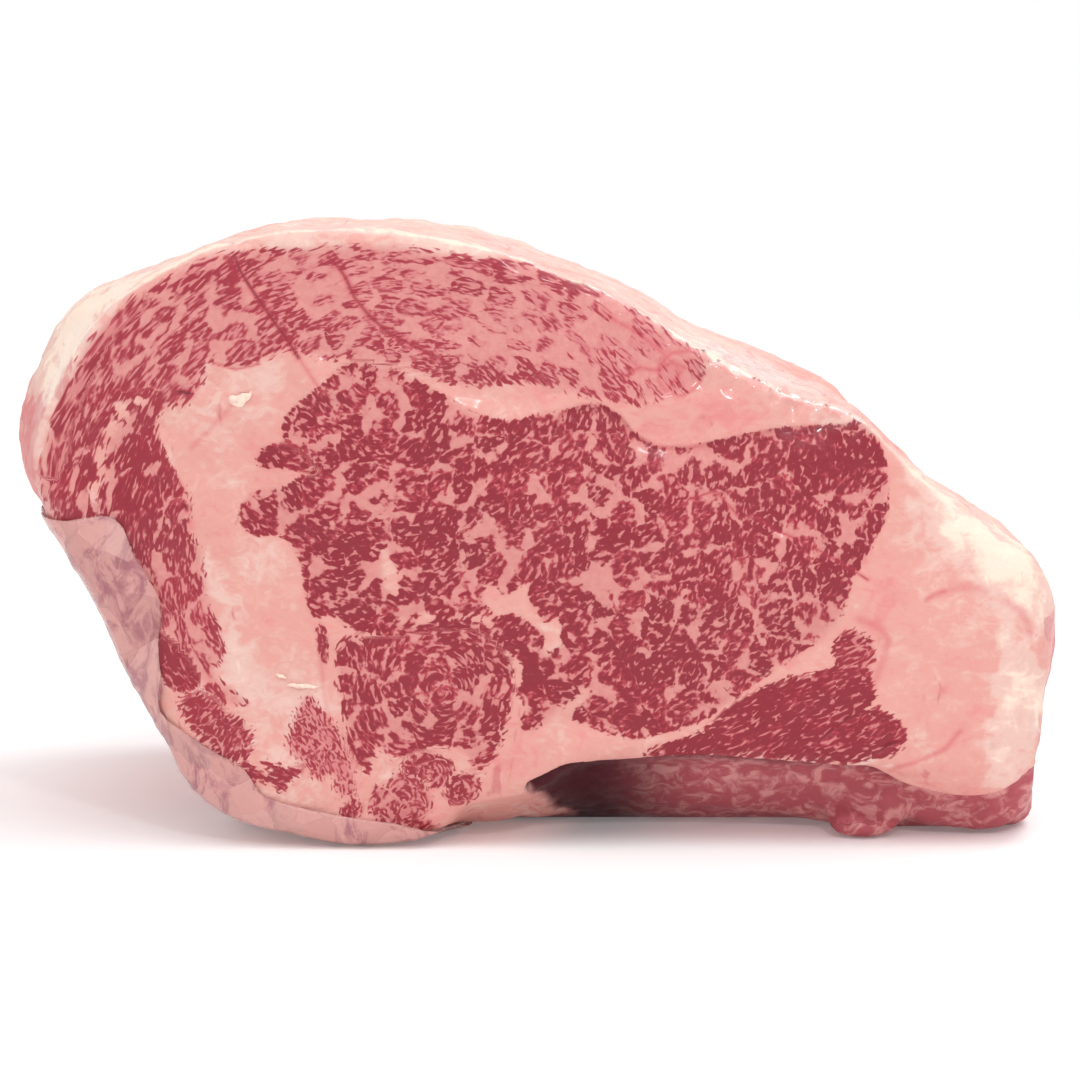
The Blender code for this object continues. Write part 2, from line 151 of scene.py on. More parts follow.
RED_SMEAR = [
    (-78.9, 22.6), (-75.5, 20.8), (-73.2, 19.5), (-70.1, 21.1), (-73.2, 23.1), (-68, 21.1), (-64.4, 21.1),
    (-68, 18.7), (-69.3, 15.9), (-71.1, 18.2), (-74.8, 18.5), (-77.9, 20),
]
DENSE = [
    (27.2, 25.5), (35, 28.6), (41.5, 31.2), (45.9, 35.6), (51.9, 39.5), (59.7, 43.4), (68.8, 46),
    (76, 48.6), (75.8, 53.8), (79.7, 57.5), (83.9, 55.9), (85.4, 52), (84.4, 46), (85.4, 40.3),
    (82.3, 37.2), (87.5, 36.1), (92.2, 33.8), (94, 28.9), (89.6, 25.7), (82.3, 24.2), (71.4, 23.4),
    (55.8, 25), (40.2, 25),
]

# Meat of the rib side under the front edge, its first points along that edge, and parts of the fat that
# look different
LIP_POINTS = 16
RIB_STRIP = [
    (-5.3, 16.4), (-0.1, 20), (6.4, 22.9), (15.5, 23.7), (27.2, 24.2), (40.2, 24.7), (55.8, 23.9),
    (71.4, 22.6), (83.9, 21.8), (89, 19.8), (93.5, 17.4), (102, 14.6), (110.9, 13.3), (118.2, 14),
    (123.4, 16.6), (128.6, 20.5), (131.7, 23.7), (137.7, 14.3), (131.2, 2.6), (92.2, -1.3), (40.2, 1.3),
    (3.8, 9.1),
]
WHITE_EDGE = [
    (119, 59), (123.4, 55.9), (128.1, 53.3), (133.8, 42.9), (133.8, 29.9), (130.7, 21.6), (121.3, 16.4),
    (116.1, 16.4), (115, 27.3), (116.9, 39), (118.7, 49.4),
]
CREAM_EDGE = [
    (93.5, 104), (107.8, 94.9), (120.8, 85.8), (131.2, 76.7), (137.7, 61.1), (128.6, 59), (120.2, 64.7),
    (114.3, 71), (108.3, 78.8), (102.6, 85.8), (97.4, 94.9),
]
THIN_EDGE = [(40, 25.8), (56, 25.6), (71, 24.6), (84, 23.6), (89.6, 21.8), (84, 22), (71, 23), (56, 24)]
MILKY_EDGE = [
    (-91.1, 76.7), (-88.5, 70.2), (-85.9, 61.1), (-84.1, 50.7), (-80.7, 42.9), (-77.9, 37.2),
    (-76.8, 42.9), (-77.4, 53.3), (-80.5, 62.4), (-84.1, 70.2), (-87.8, 76.7),
]
LEFT_RIM = [
    (-102.8, 144.3), (-113.2, 133.9), (-119.7, 118.3), (-123.6, 105.3), (-126.2, 92.3), (-130.1, 87.1),
    (-136.6, 92.3), (-136.6, 113.1), (-128.8, 136.5), (-115.8, 148.2),
]
RIGHT_TISSUE = [
    (130.5, 60), (133, 52), (134, 42), (132.5, 32), (131.5, 22), (141, 18), (144, 40), (139, 60),
]
# Glossy wet lumps at the upper right; their paleness in FAT_PARTS is a painted highlight
TOP_GLOSS = [
    (40.2, 136.5), (55.8, 131.3), (74, 122.2), (82.3, 114.4), (79.2, 111), (66.2, 111), (55.8, 114.4),
    (45.4, 119.6), (37.6, 127.4), (35, 133.9),
]
# Outline, how soft its edge is in mm, how much paler, redder and wetter the fat is inside; the paleness of
# TOP_GLOSS is a painted highlight on its wet lumps
FAT_PARTS = [
    (WHITE_EDGE, 1.2, 0.75, 0.0, 0.1), (CREAM_EDGE, 7.0, 1.2, 0.0, 0.1), (THIN_EDGE, 0.8, 0.8, 0.0, 0.3),
    (RIGHT_TISSUE, 0.8, -0.5, 1.7, 0.5),
    (MILKY_EDGE, 3.5, 0.35, 0.0, 0.2), (LEFT_RIM, 3.0, 0.5, 0.8, 0.15), (TOP_GLOSS, 6.0, 0.55, 0.2, 1.0),
]

# Fat that lies inside a muscle's outline
POCKETS = [
    [(-117.9, 100.1), (-115.8, 107.9), (-110.1, 117.3), (-105.4, 119.3), (-102.8, 117.8), (-107.5, 115.2),
     (-112.7, 107.9), (-114.3, 100.1), (-116.4, 92.3), (-118.4, 93.3)],
    [(-37.8, 60.6), (-32.6, 62.1), (-26.1, 61.6), (-14.4, 63.2), (-16, 66.3), (-15.2, 69.4),
     (-11.3, 68.9), (-6.6, 70.2), (-3, 72), (-3.8, 68.4), (-3.2, 64.5), (-0.1, 61.6), (3, 61.6),
     (3.8, 56.4), (0.9, 51.7), (-1.4, 55.9), (-4.3, 60.1), (-7.9, 61.6), (-12.9, 61.1), (-15, 59),
     (-19.6, 61.1), (-27.4, 61.1), (-32.6, 59.5)],
    [(-43, 80.6), (-39.9, 76.7), (-37.3, 74.1), (-37.3, 71), (-38.9, 67.3), (-41, 70.5), (-42.5, 74.6)],
    [(-9.8, 52), (-6.6, 50.7), (-6.1, 42.9), (-5.6, 32), (-8.7, 24.7), (-11.8, 29.9), (-9.8, 37.2),
     (-8.2, 42.9)],
]

# Muscles: outline, how its grain runs, fleck size in mm, share of lean, weight of islands, how far flecks
# are drawn out, how pale the lean is, how much the flecks thin out at the edge. Grain runs round a point,
# along a direction, or follows the ring.
MUSCLES = [
    (EYE, ("round", (-44.3, 129.5)), 1.2, 0.665, 0.93, 1.9, 0.03, 0.15),
    (SMALL_LOBE, ("along", (1, -0.2)), 1.3, 0.74, 0.6, 1.6, 0.0, 0.1),
    (SWIRL, ("round", (-27.4, 42.9)), 1.1, 0.66, 0.9, 2.6, 0.12, 0.6),
    (ISLAND_TOP, ("round", (-31, 21)), 1.0, 0.60, 0.4, 2.0, 0.3, 0.5),
    (ISLAND_LEFT, ("round", (-37, 12)), 1.0, 0.55, 0.4, 2.2, 0.4, 0.6),
    (ISLAND_RIGHT, ("round", (-22, 16)), 1.0, 0.66, 0.4, 2.0, 0.3, 0.5),
    (ISLAND_SMALL, ("along", (0.5, 1)), 0.8, 0.65, 0.2, 2.0, 0.4, 0.5),
    (STRIP, ("along", (0.1, 1)), 0.9, 0.62, 0.2, 2.4, 0.2, 0.3),
    (PATCH, ("along", (-0.3, 1)), 0.8, 0.50, 0.3, 2.4, 0.5, 0.7),
    (RING, ("ring", (-35, 75)), 0.78, 0.615, 0.95, 2.2, 0.48, 0.5),
    (LEFT_STREAKS, ("ring", (-35, 75)), 1.1, 0.52, 0.4, 3.0, 0.35, 0.6),
    (LOWER_LOBE_DARK, ("along", (0.6, -1)), 0.9, 0.82, 0.3, 2.8, 0.2, 0.3),
    (LOWER_LOBE, ("along", (0.7, 0.7)), 0.9, 0.68, 0.3, 2.8, 0.35, 0.7),
    (RED_SMEAR, ("along", (1, -0.3)), 0.9, 0.80, 0.0, 2.4, 0.3, 0.5),
    (DENSE, ("along", (0.9, 0.5)), 1.0, 0.78, 0.0, 3.2, 0.0, 0.5),
]
# Lean: place on the cut face, reach in mm, how much more of it there is and how much paler it is there
LEAN_REGIONS = [
    (72.7, 103.5, 12, 0.15, 0.0), (24.6, 39, 11, 0.07, 0.0), (53, 65, 14, -0.05, 0.08),
    (45, 95, 13, 0.0, 0.14), (2, 88, 12, 0.0, 0.08), (-108, 92, 18, 0.18, -0.35),
    (-42, 146, 20, -0.13, 0.1), (16, 137, 17, -0.22, 0.4),
    (9, 149, 6, 0.35, -0.2), (-8, 122, 8, 0.2, -0.1), (-65, 149.5, 8, -0.2, 0.1), (-12, 134, 9, -0.28, 0.2),
    (81, 52, 6, -0.2, 0.3), (34, 128, 9, -0.28, 0.3), (-100, 62, 12, 0.0, 0.05), (-4, 46, 5.5, 0.28, -0.1),
]
# The ring's pattern is laid out at this radius in mm and drawn out along the ring
RING_RADIUS = 80.0
RING_DRAWN_OUT = 2.1

# Fat: place on the cut face, reach in mm and how much paler (or pinker, below 0) it is there; (30, 134) and
# the last three, along the top edge, are painted highlights
FAT_TONES = [
    (-78, 116, 14, 0.55), (-66, 100, 10, -0.7), (-77, 52, 14, 0.5), (-72, 32, 11, 0.45), (-66, 74, 8, 0.1),
    (-68, 10, 12, 0.3), (-12, 28, 14, -0.2), (100, 60, 12, 0.15), (123, 74, 10, 0.9), (124, 40, 10, 0.5),
    (116, 82, 10, 0.9), (105, 86, 9, 0.5), (104, 40, 10, 0.2), (100, 22, 12, 0.0), (44, 118, 12, -0.9),
    (30, 134, 9, 0.9), (66, 122, 14, -0.3), (-117, 128, 12, 0.8), (92, 100, 8, -0.1), (88, 72, 7, -0.5),
    # Painted highlights along the top edge of the cut face
    (-60, 159, 13, 0.9), (-25, 160, 13, 0.9), (10, 156, 11, 0.7),
]

# Knife cuts, cracks and veins: line, half width and depth in mm, how dark it is; near 1 that is painted
# shade at the bottom of a deep cut
CRACKS = [
    ([(-80, 155.2), (-78.7, 151.6), (-75.8, 146.9), (-72.2, 141.7), (-69, 137), (-66.4, 133.4),
      (-63.8, 129.2)], 0.8, 0.1, 0.95),
    ([(-63.8, 129.2), (-60.7, 124.5), (-58.1, 120.9)], 0.5, 0.12, 0.55),
    ([(-56, 155.2), (-53.4, 152.6), (-51.6, 150), (-49.3, 144.8), (-45.1, 139.6), (-40.4, 135.7),
      (-34.7, 132.6), (-27.4, 129.2)], 0.8, 0.1, 0.9),
    ([(-81, 154.2), (-80, 149.5), (-81.5, 144.8)], 0.7, 0.1, 0.7),
    ([(37.6, 92.8), (44.1, 94.9), (47.5, 91), (50.6, 87.9), (54.5, 88.4), (59.7, 84.5), (66.2, 81.9),
      (71.9, 78.8), (77.9, 75.4), (83.9, 71.5)], 0.5, 0.3, 0.8),
    ([(71.1, 28.3), (75.3, 32), (79.2, 34.8), (83.1, 35.9)], 0.5, 0.9, 1.0),
    ([(87, 25.5), (90.1, 27.8), (93.7, 28.9)], 0.5, 0.9, 1.0),
    ([(-100.2, 106.1), (-97.1, 99.6), (-94, 94.9)], 0.45, 0.6, 0.9),
    ([(-95, 120.4), (-91.9, 119.9)], 1.0, 1.2, 0.95),
    ([(-94, 91), (-93.2, 89.7)], 0.9, 1.2, 0.95),
    ([(-86, 128), (-80, 126.2), (-74, 127.6)], 0.45, 0.4, 0.7),
    ([(99.2, 66.3), (101.3, 67.9), (104.1, 68.6)], 0.9, 0.03, 0.55),
    ([(104.1, 68.6), (108.3, 69.7), (112.5, 69.4), (114.3, 68.4)], 1.2, 0.0, 0.34),
    ([(120.8, 65.8), (123.9, 63.2), (126, 59.8), (126.8, 55.9)], 1.2, 0.0, 0.36),
    ([(82.3, 61.1), (87, 59), (89.6, 55.4), (87.5, 48.6), (84.9, 42.9)], 1.3, 0.0, 0.4),
    ([(90.9, 20.8), (98.7, 23.9), (104.7, 26.8), (108.5, 31.7)], 0.8, 0.0, 0.5),
    ([(-80, 118.8), (-83.3, 114.4), (-87.8, 110), (-91.9, 105.8)], 0.8, 0.3, 0.3),
    ([(16.8, 139.6), (24.6, 135.2), (29.8, 130.8), (35, 125.6), (31.9, 121.4)], 0.6, 0.05, 0.6),
    ([(40, 133.5), (37.2, 131.1), (32.5, 130.4), (29.6, 127.2), (29.2, 123.1), (31.5, 120.2), (35.3, 119.4),
      (39, 121.4), (41, 125)], 0.6, 0.05, 0.55),
    ([(20.5, 124.5), (24.5, 126.8), (28.6, 125.9), (33, 128.2), (36, 126.5)], 0.7, 0.03, 0.6),
    ([(44, 127.5), (50, 126), (56, 122.5), (63, 121.5), (68, 118)], 1.0, 0.3, 0.2),
    ([(66, 127), (68, 121), (71, 117), (77, 114.5)], 1.0, 0.3, 0.3),
    ([(-59.1, 55.9), (-58.1, 42.9), (-56, 29.9)], 0.7, 0.1, 0.3),
]
LEDGE = [
    (1, 107.9), (2.7, 112.1), (3.8, 114.9), (10.3, 117), (14.7, 116.7), (19.4, 113.9), (22.8, 109.7),
    (28.5, 106.3), (37.6, 106.3), (48, 108.4), (57.9, 110.5), (66.2, 111.3), (76.6, 111.8), (81.2, 112.8),
]

# Loose scraps of fat: form, place on the cut face, turn, length and width in mm
SCRAPS = [
    ("curled", (-78.6, 118.4), 0.4, 6.6, 3.0), ("strip", (-63.4, 43.4), -0.06, 8.6, 1.3),
    ("strip", (-69.2, 46.0), -0.3, 3.2, 1.0),
]
# Half their thickness, and how far their middle stands out from the cut face, in mm
SCRAP_HALF_THICKNESS = 0.45
SCRAP_STANDS_OUT = 0.25


def smooth_step(low, high, value):
    share = np.clip((value - low) / (high - low), 0, 1)
    return share * share * (3 - 2 * share)


def smooth_outline(outline, steps=3):
    """Corners of a smooth closed curve through an outline."""
    points = np.array(outline, float)
    before, after, beyond = (np.roll(points, turn, 0) for turn in (1, -1, -2))
    found = []
    for step in range(steps):
        t = step / steps
        found.append(
            0.5 * (2 * points + (after - before) * t + (2 * before - 5 * points + 4 * after - beyond) * t**2
                   + (3 * points - before - 3 * after + beyond) * t**3)
        )
    return np.stack(found, 1).reshape(-1, 2)


def distance_inside(places, outline):
    """Distance of each place from a closed outline in mm, positive inside."""
    corners = smooth_outline(outline)
    nearest = np.full(len(places), 1e6)
    inside = np.zeros(len(places), bool)
    x, z = places.T
    for start, end in zip(corners, np.roll(corners, -1, 0)):
        side = end - start
        from_start = places - start
        share = np.clip(from_start @ side / max(side @ side, 1e-9), 0, 1)
        off = from_start - share[:, None] * side
        nearest = np.minimum(nearest, off[:, 0] ** 2 + off[:, 1] ** 2)
        if start[1] != end[1]:
            crossed = (start[1] > z) != (end[1] > z)
            inside ^= crossed & (x < start[0] + (z - start[1]) / (end[1] - start[1]) * side[0])
    nearest = np.sqrt(nearest)
    return np.where(inside, nearest, -nearest)


def distance_to_line(places, line):
    """Distance from an open line in mm, the side it lies on (positive above) and the share along it."""
    points = np.array(line, float)
    nearest = np.full(len(places), 1e6)
    above = np.zeros(len(places))
    along = np.zeros(len(places))
    count = len(points) - 1
    for index in range(count):
        start, side = points[index], points[index + 1] - points[index]
        from_start = places - start
        share = np.clip(from_start @ side / (side @ side), 0, 1)
        off = from_start - share[:, None] * side
        distance = np.hypot(off[:, 0], off[:, 1])
        closer = distance < nearest
        nearest = np.where(closer, distance, nearest)
        turned = side[0] * from_start[:, 1] - side[1] * from_start[:, 0]
        above = np.where(closer, np.sign(turned), above)
        along = np.where(closer, (index + share) / count, along)
    return nearest, above, along


def lumps(points, size_mm, seed=0.0):
    """Smooth noise from about -0.5 to 0.5 at each point, points in mm."""
    shift = Vector((seed, seed * 1.7, -seed))
    return np.array([noise.noise(Vector(point) / size_mm + shift) for point in points.tolist()])


def face_places(points):
    """Where points in mm lie as x and z on the cut face."""
    return np.stack((points[:, 0] - ROW_FROM_FACE_X, points[:, 2]), 1)


def deselect_all():
    if bpy.context.object and bpy.context.object.mode != "OBJECT":
        bpy.ops.object.mode_set(mode="OBJECT")
    bpy.ops.object.select_all(action="DESELECT")


def make_active(piece):
    deselect_all()
    piece.select_set(True)
    bpy.context.view_layer.objects.active = piece


def copy_of_node(node, name):
    """A copy of one of the frame's solids as a new piece, its loose triangles merged."""
    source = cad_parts[node]
    piece = bpy.data.objects.new(name, source.data.copy())
    bpy.context.scene.collection.objects.link(piece)
    piece.data.materials.clear()
    make_active(piece)
    bpy.ops.object.mode_set(mode="EDIT")
    bpy.ops.mesh.select_all(action="SELECT")
    bpy.ops.mesh.remove_doubles(threshold=0.00001)
    bpy.ops.mesh.customdata_custom_splitnormals_clear()
    bpy.ops.object.mode_set(mode="OBJECT")
    return piece


def apply_modifier(piece, kind, **settings):
    make_active(piece)
    step = piece.modifiers.new(kind.lower(), kind)
    for name, value in settings.items():
        setattr(step, name, value)
    bpy.ops.object.modifier_apply(modifier=step.name)


def read_vectors(items, name):
    values = np.empty(len(items) * 3)
    items.foreach_get(name, values)
    return values.reshape(-1, 3)


def vertex_places(piece):
    return read_vectors(piece.data.vertices, "co") / MM


def vertex_normals(piece):
    return read_vectors(piece.data.vertex_normals, "vector")


def place_vertices(piece, points):
    piece.data.vertices.foreach_set("co", (points * MM).ravel())
    piece.data.update()


def select_faces(piece, chosen):
    """Selects faces of a piece in face mode, where chosen says which."""
    bpy.context.tool_settings.mesh_select_mode = (False, False, True)
    mesh = piece.data
    mesh.vertices.foreach_set("select", np.zeros(len(mesh.vertices), bool))
    mesh.edges.foreach_set("select", np.zeros(len(mesh.edges), bool))
    mesh.polygons.foreach_set("select", chosen)


def face_centres(piece):
    faces = piece.data.polygons
    return read_vectors(faces, "center") / MM, read_vectors(faces, "normal")


def edit_selected(piece, chosen, action):
    make_active(piece)
    select_faces(piece, chosen)
    bpy.ops.object.mode_set(mode="EDIT")
    action()
    bpy.ops.object.mode_set(mode="OBJECT")


def store(piece, name, values):
    """Keeps one number or one vector for each vertex."""
    kind = "FLOAT_VECTOR" if values.ndim == 2 else "FLOAT"
    layer = piece.data.attributes.new(name, kind, "POINT")
    layer.data.foreach_set("vector" if values.ndim == 2 else "value", values.astype(np.float32).ravel())


def near_cracks(places):
    """Distance in mm to the nearest of the knife cuts, cracks and the ledge."""
    nearest = distance_to_line(places, LEDGE)[0] - 0.6
    for line, half, depth, dark in CRACKS:
        nearest = np.minimum(nearest, distance_to_line(places, line)[0] - half)
    return nearest


def near_lip(places):
    """Distance in mm to the front edge that hangs over the rib side."""
    away = np.abs(distance_inside(places, RIB_STRIP))
    return np.where(places[:, 1] > 12, away, 1e6)


def muscle_map(points, places):
    """For each place: distance inside its muscle in mm, where it lies in the pattern, the way of the grain,
    and two sets of three values of its muscle."""
    count = len(places)
    inside = np.full(count, -1e6)
    pattern = points.copy()
    grain = np.zeros((count, 3))
    fleck = np.ones((count, 3))
    fleck_shape = np.ones((count, 3))
    for outline, (shape, data), size, lean, islands, drawn_out, paleness, thinning in MUSCLES:
        depth = distance_inside(places, outline)
        nearer = depth > inside
        inside = np.where(nearer, depth, inside)
        spoke = places - np.array(data)
        if shape == "round":
            way = np.stack((-spoke[:, 1], spoke[:, 0]), 1)
        else:
            way = np.tile(np.array(data if shape == "along" else (1, 0), float), (count, 1))
        way = way / np.maximum(np.hypot(way[:, 0], way[:, 1]), 1e-6)[:, None]
        grain[nearer, :2] = way[nearer]
        own = points.copy()
        if shape == "ring":
            own[:, 0] = np.arctan2(spoke[:, 0], spoke[:, 1]) * RING_RADIUS / RING_DRAWN_OUT
            own[:, 2] = np.hypot(spoke[:, 0], spoke[:, 1])
        pattern[nearer] = own[nearer][:, (0, 2, 1)]
        fleck[nearer] = (size, lean, islands)
        fleck_shape[nearer] = (drawn_out, paleness, thinning)
    ragged = lumps(points, 3.5, 6.0)
    for pocket in POCKETS:
        inside = np.minimum(inside, -distance_inside(places, pocket) + 2.4 * ragged)
    for x, z, reach, more, paler in LEAN_REGIONS:
        near = np.exp(-(((places[:, 0] - x) ** 2 + (places[:, 1] - z) ** 2) / reach**2))
        fleck[:, 1] += more * near
        fleck_shape[:, 1] += paler * near
    fleck_shape[:, 1] = np.clip(fleck_shape[:, 1], 0, 1)
    return inside, pattern, grain, fleck, fleck_shape


def fat_tone(places):
    """How pale the fat is: 0 pink, 1 plain, 2 pale, 3 cream; a few of the pale spots are painted
    highlights.
    """
    tone = np.ones(len(places))
    for x, z, reach, amount in FAT_TONES:
        away = np.hypot(places[:, 0] - x, places[:, 1] - z)
        tone += amount * np.exp(-((away / reach) ** 2))
    return tone


def face_relief(points, places, inside):
    """How far each point of the cut face sinks, in mm."""
    sunk = 0.30 * smooth_step(-0.6, 1.0, inside)
    sunk -= 0.9 * lumps(points, 16, 3.0) + 0.35 * lumps(points, 6, 7.0)
    away, above, along = distance_to_line(places, LEDGE)
    fade = smooth_step(0, 0.08, along) * smooth_step(1, 0.85, along)
    below = np.where(above < 0, away, 0)
    sunk += fade * np.where(above < 0, 0.8 * np.clip(1 - below / 11, 0, 1) ** 2, 0)
    sunk += fade * 0.2 * np.exp(-((away / 0.7) ** 2))
    for line, half, depth, dark in CRACKS:
        away, above, along = distance_to_line(places, line)
        ends = np.sqrt(np.sin(np.pi * np.clip(along, 0.03, 0.97)))
        sunk += depth * np.exp(-((away / (half * 1.3)) ** 2)) * ends
    glossy = smooth_step(-4, 4, distance_inside(places, TOP_GLOSS))
    sunk -= glossy * (1.9 * lumps(points, 7, 2.0) + 1.0 * lumps(points, 4, 6.0))
    crumbly = smooth_step(-1.5, 1.5, distance_inside(places, WHITE_EDGE))
    sunk -= crumbly * (0.8 * lumps(points, 5, 8.0) + 0.7 * lumps(points, 2.4, 2.5))
    return sunk


def level_cracks(piece):
    """Fills the solid's cuts and cracks, they get their relief again with the rest of the cut face."""
    points = vertex_places(piece)
    places = face_places(points)
    depth = points[:, 1] - FACE_LIES_AT_Y
    filled = smooth_step(CUT_REACH, 2.5, near_cracks(places)) * (depth > 0) * (depth < DEEPEST_CUT)
    filled *= smooth_step(-0.2, -0.5, vertex_normals(piece)[:, 1])
    filled *= smooth_step(-2, -4, distance_inside(places, RIB_STRIP))
    points[:, 1] -= depth * filled
    place_vertices(piece, points)


def edit_front(piece, action, near=None, steepest=-0.3, reach=16):
    """Runs an edit on the faces of the cut face, all of them or those whose places near picks."""
    centres, normals = face_centres(piece)
    chosen = (normals[:, 1] < steepest) & (centres[:, 1] < FACE_LIES_AT_Y + reach)
    if near:
        chosen &= near(face_places(centres))
    edit_selected(piece, chosen, action)


def split_faces():
    bpy.ops.mesh.subdivide(number_cuts=1)


def mesh_of_roast(sizes):
    """The frame's roast as one even skin, finer on the cut face and finest along its cuts and its lip."""
    piece = copy_of_node("rib_roast", "roast_meat")
    apply_modifier(piece, "REMESH", mode="VOXEL", voxel_size=sizes.mesh_spacing)
    apply_modifier(piece, "SMOOTH", factor=0.5, iterations=4)
    edit_front(piece, split_faces, steepest=-0.35, reach=14)
    edit_front(piece, lambda: bpy.ops.mesh.vertices_smooth(factor=0.5, repeat=3))
    level_cracks(piece)
    edit_front(piece, lambda: bpy.ops.mesh.vertices_smooth(factor=0.5, repeat=16),
               lambda places: near_cracks(places) < CUT_REACH)
    edit_front(piece, split_faces, lambda places: (near_cracks(places) < 1.3) | (near_lip(places) < 1.6))
    return piece


class Skin:
    """The roast's vertices in mm, and how much each belongs to its front, rear, side and rib side."""

    def __init__(self, piece):
        self.points = vertex_places(piece)
        self.normals = vertex_normals(piece)
        self.places = face_places(self.points)
        self.depth = self.points[:, 1] - FACE_LIES_AT_Y
        facing = self.normals[:, 1]
        self.front = smooth_step(-0.15, -0.75, facing) * smooth_step(22, 12, self.depth)
        far_end = smooth_step(ROAST_DEPTH - 14, ROAST_DEPTH - 8, self.depth)
        self.rear = smooth_step(0.3, 0.8, facing) * far_end
        self.side = 1 - np.maximum(self.front, self.rear)
        self.strip = distance_inside(self.places, RIB_STRIP)
        self.under = self.rib_side()

    def rib_side(self):
        """1 on the rib side and in the hollow under the front edge, 0 where fat comes down to the floor."""
        x, z = self.places.T
        up = self.normals[:, 2]
        under = self.side * smooth_step(-0.25, -0.7, up)
        low = smooth_step(34, 22, z) * smooth_step(-10, 20, x)
        under = np.maximum(under, self.side * low * smooth_step(0.2, -0.3, up))
        hollow = smooth_step(0.4, 0.0, self.normals[:, 1]) * smooth_step(60, 45, self.depth)
        under = np.maximum(under, hollow * smooth_step(-0.2, 0.5, self.strip))
        from_end = x + 0.9 * (z - 16) + 2.5 * lumps(self.points, 6, 3.5)
        return under * (1 - smooth_step(45, 35, self.depth) * smooth_step(-3, -6, from_end))

    def shade_of_hollow(self):
        """Painted shade in the hollow: near its left end, and just below the edge that hangs over it."""
        x = self.places[:, 0]
        # Painted shade: near-black towards the left end of the hollow, and a band under the front edge that
        # hangs over it
        hollow_shade = self.under * smooth_step(46, 12, x) * smooth_step(-16, -5, x)
        away, above, along = distance_to_line(self.places, RIB_STRIP[:LIP_POINTS])
        shade_below_lip = np.where(above < 0, np.exp(-((away / 3.2) ** 2)), 0) * smooth_step(50, 35, self.depth)
        shade_below_lip *= smooth_step(-0.2, 0.2, self.strip) * smooth_step(0.4, 0.0, self.normals[:, 2])
        return np.maximum(hollow_shade, 0.85 * shade_below_lip * smooth_step(104, 84, x))


def give_relief(piece, skin, inside):
    """Moves the vertices in and out along their normals, and keeps them inside the frame's box."""
    points = skin.points
    sunk = face_relief(points, skin.places, inside)
    sunk += RIB_SIDE_SINKS * smooth_step(-0.3, 0.9, skin.strip)
    sunk += 1.2 * skin.under * skin.front * lumps(points, 5, 4.0)
    uneven = 0.9 * lumps(points * (1, 0.45, 1), 9, 5.0) + 0.5 * lumps(points, 4, 1.0)
    rests = smooth_step(0.3, 2.5, points[:, 2])
    push = -sunk * skin.front - 0.6 * np.clip(sunk, -1, 0.4) * skin.rear + uneven * skin.side * rests
    low_corner, high_corner = np.array(CAD_BOX) / MM
    moved = points + skin.normals * np.minimum(push, MOST_RELIEF)[:, None]
    place_vertices(piece, np.clip(moved, low_corner, high_corner))


def cuts_and_ledge_shade(places):
    """How dark the cuts and cracks are, the darkest of them as painted shade, and the painted shade under
    the ledge.
    """
    darkness = np.zeros(len(places))
    for line, half, depth, dark in CRACKS:
        away, above, along = distance_to_line(places, line)
        darkness = np.maximum(darkness, dark * np.exp(-((away / half) ** 2)))
    # Painted shade just under the ledge where the fat stands out over the eye muscle, and a thin line along
    # it
    away, above, along = distance_to_line(places, LEDGE)
    fade = smooth_step(0, 0.1, along) * smooth_step(1, 0.9, along)
    shade = np.where(above < 0, np.exp(-away / 0.9), np.exp(-((away / 0.35) ** 2)))
    return np.maximum(darkness, 0.4 * fade * shade)


def skin_values(skin, inside):
    """How pale, how red and how wet the fat and the outer skin are; part of the paleness is painted
    highlight on the top, along the upper rim, over the glossy upper right and along the top edge of the cut
    face.
    """
    points, places, side = skin.points, skin.places, skin.side
    left = smooth_step(-70, -110, places[:, 0])
    right = smooth_step(95, 125, places[:, 0])
    top = smooth_step(110, 140, points[:, 2])
    drift = lumps(points * (1, 0.6, 1), 24, 12.0)
    back = smooth_step(15, 75, skin.depth + 40 * drift)
    height = points[:, 2] + 40 * drift * smooth_step(5, 45, skin.depth)
    # The top of the sides is paler and less red, partly its fat cap and partly a painted highlight from the
    # light above
    side_tone = 1.15 + 0.75 * top + 0.25 * right + left * (0.7 - 0.5 * back) * smooth_step(118, 130, height)
    tone = fat_tone(places) * (1 - side) + side_tone * side
    redness = 0.3 - 0.3 * top + left * (1 - 0.5 * back) * (0.9 - 1.6 * smooth_step(112, 124, height))
    redness += right * (0.6 - 0.2 * back) * smooth_step(62, 45, height)
    redness *= side
    # Painted highlight: the fat is paler along the upper rim, where the cut face turns up into the top, and
    # wetter there too
    rim = 4 * side * (1 - side) * smooth_step(0.1, 0.5, skin.normals[:, 2]) * smooth_step(80, 110, height)
    tone += 1.1 * rim
    wetness = 0.15 * top * side + 0.6 * rim
    ragged = lumps(points, 5, 9.0) + 0.6 * lumps(points, 2.2, 3.0)
    for outline, softness, paler, redder, wetter in FAT_PARTS:
        distance = distance_inside(places, outline) + 4.0 * ragged
        within = smooth_step(-softness, softness, distance)
        within *= np.where(side > 0.5, 1 - 0.9 * back, smooth_step(3, 0, inside))
        tone += paler * within
        redness += redder * within
        wetness += wetter * within
    return np.stack((tone, redness, wetness), 1)


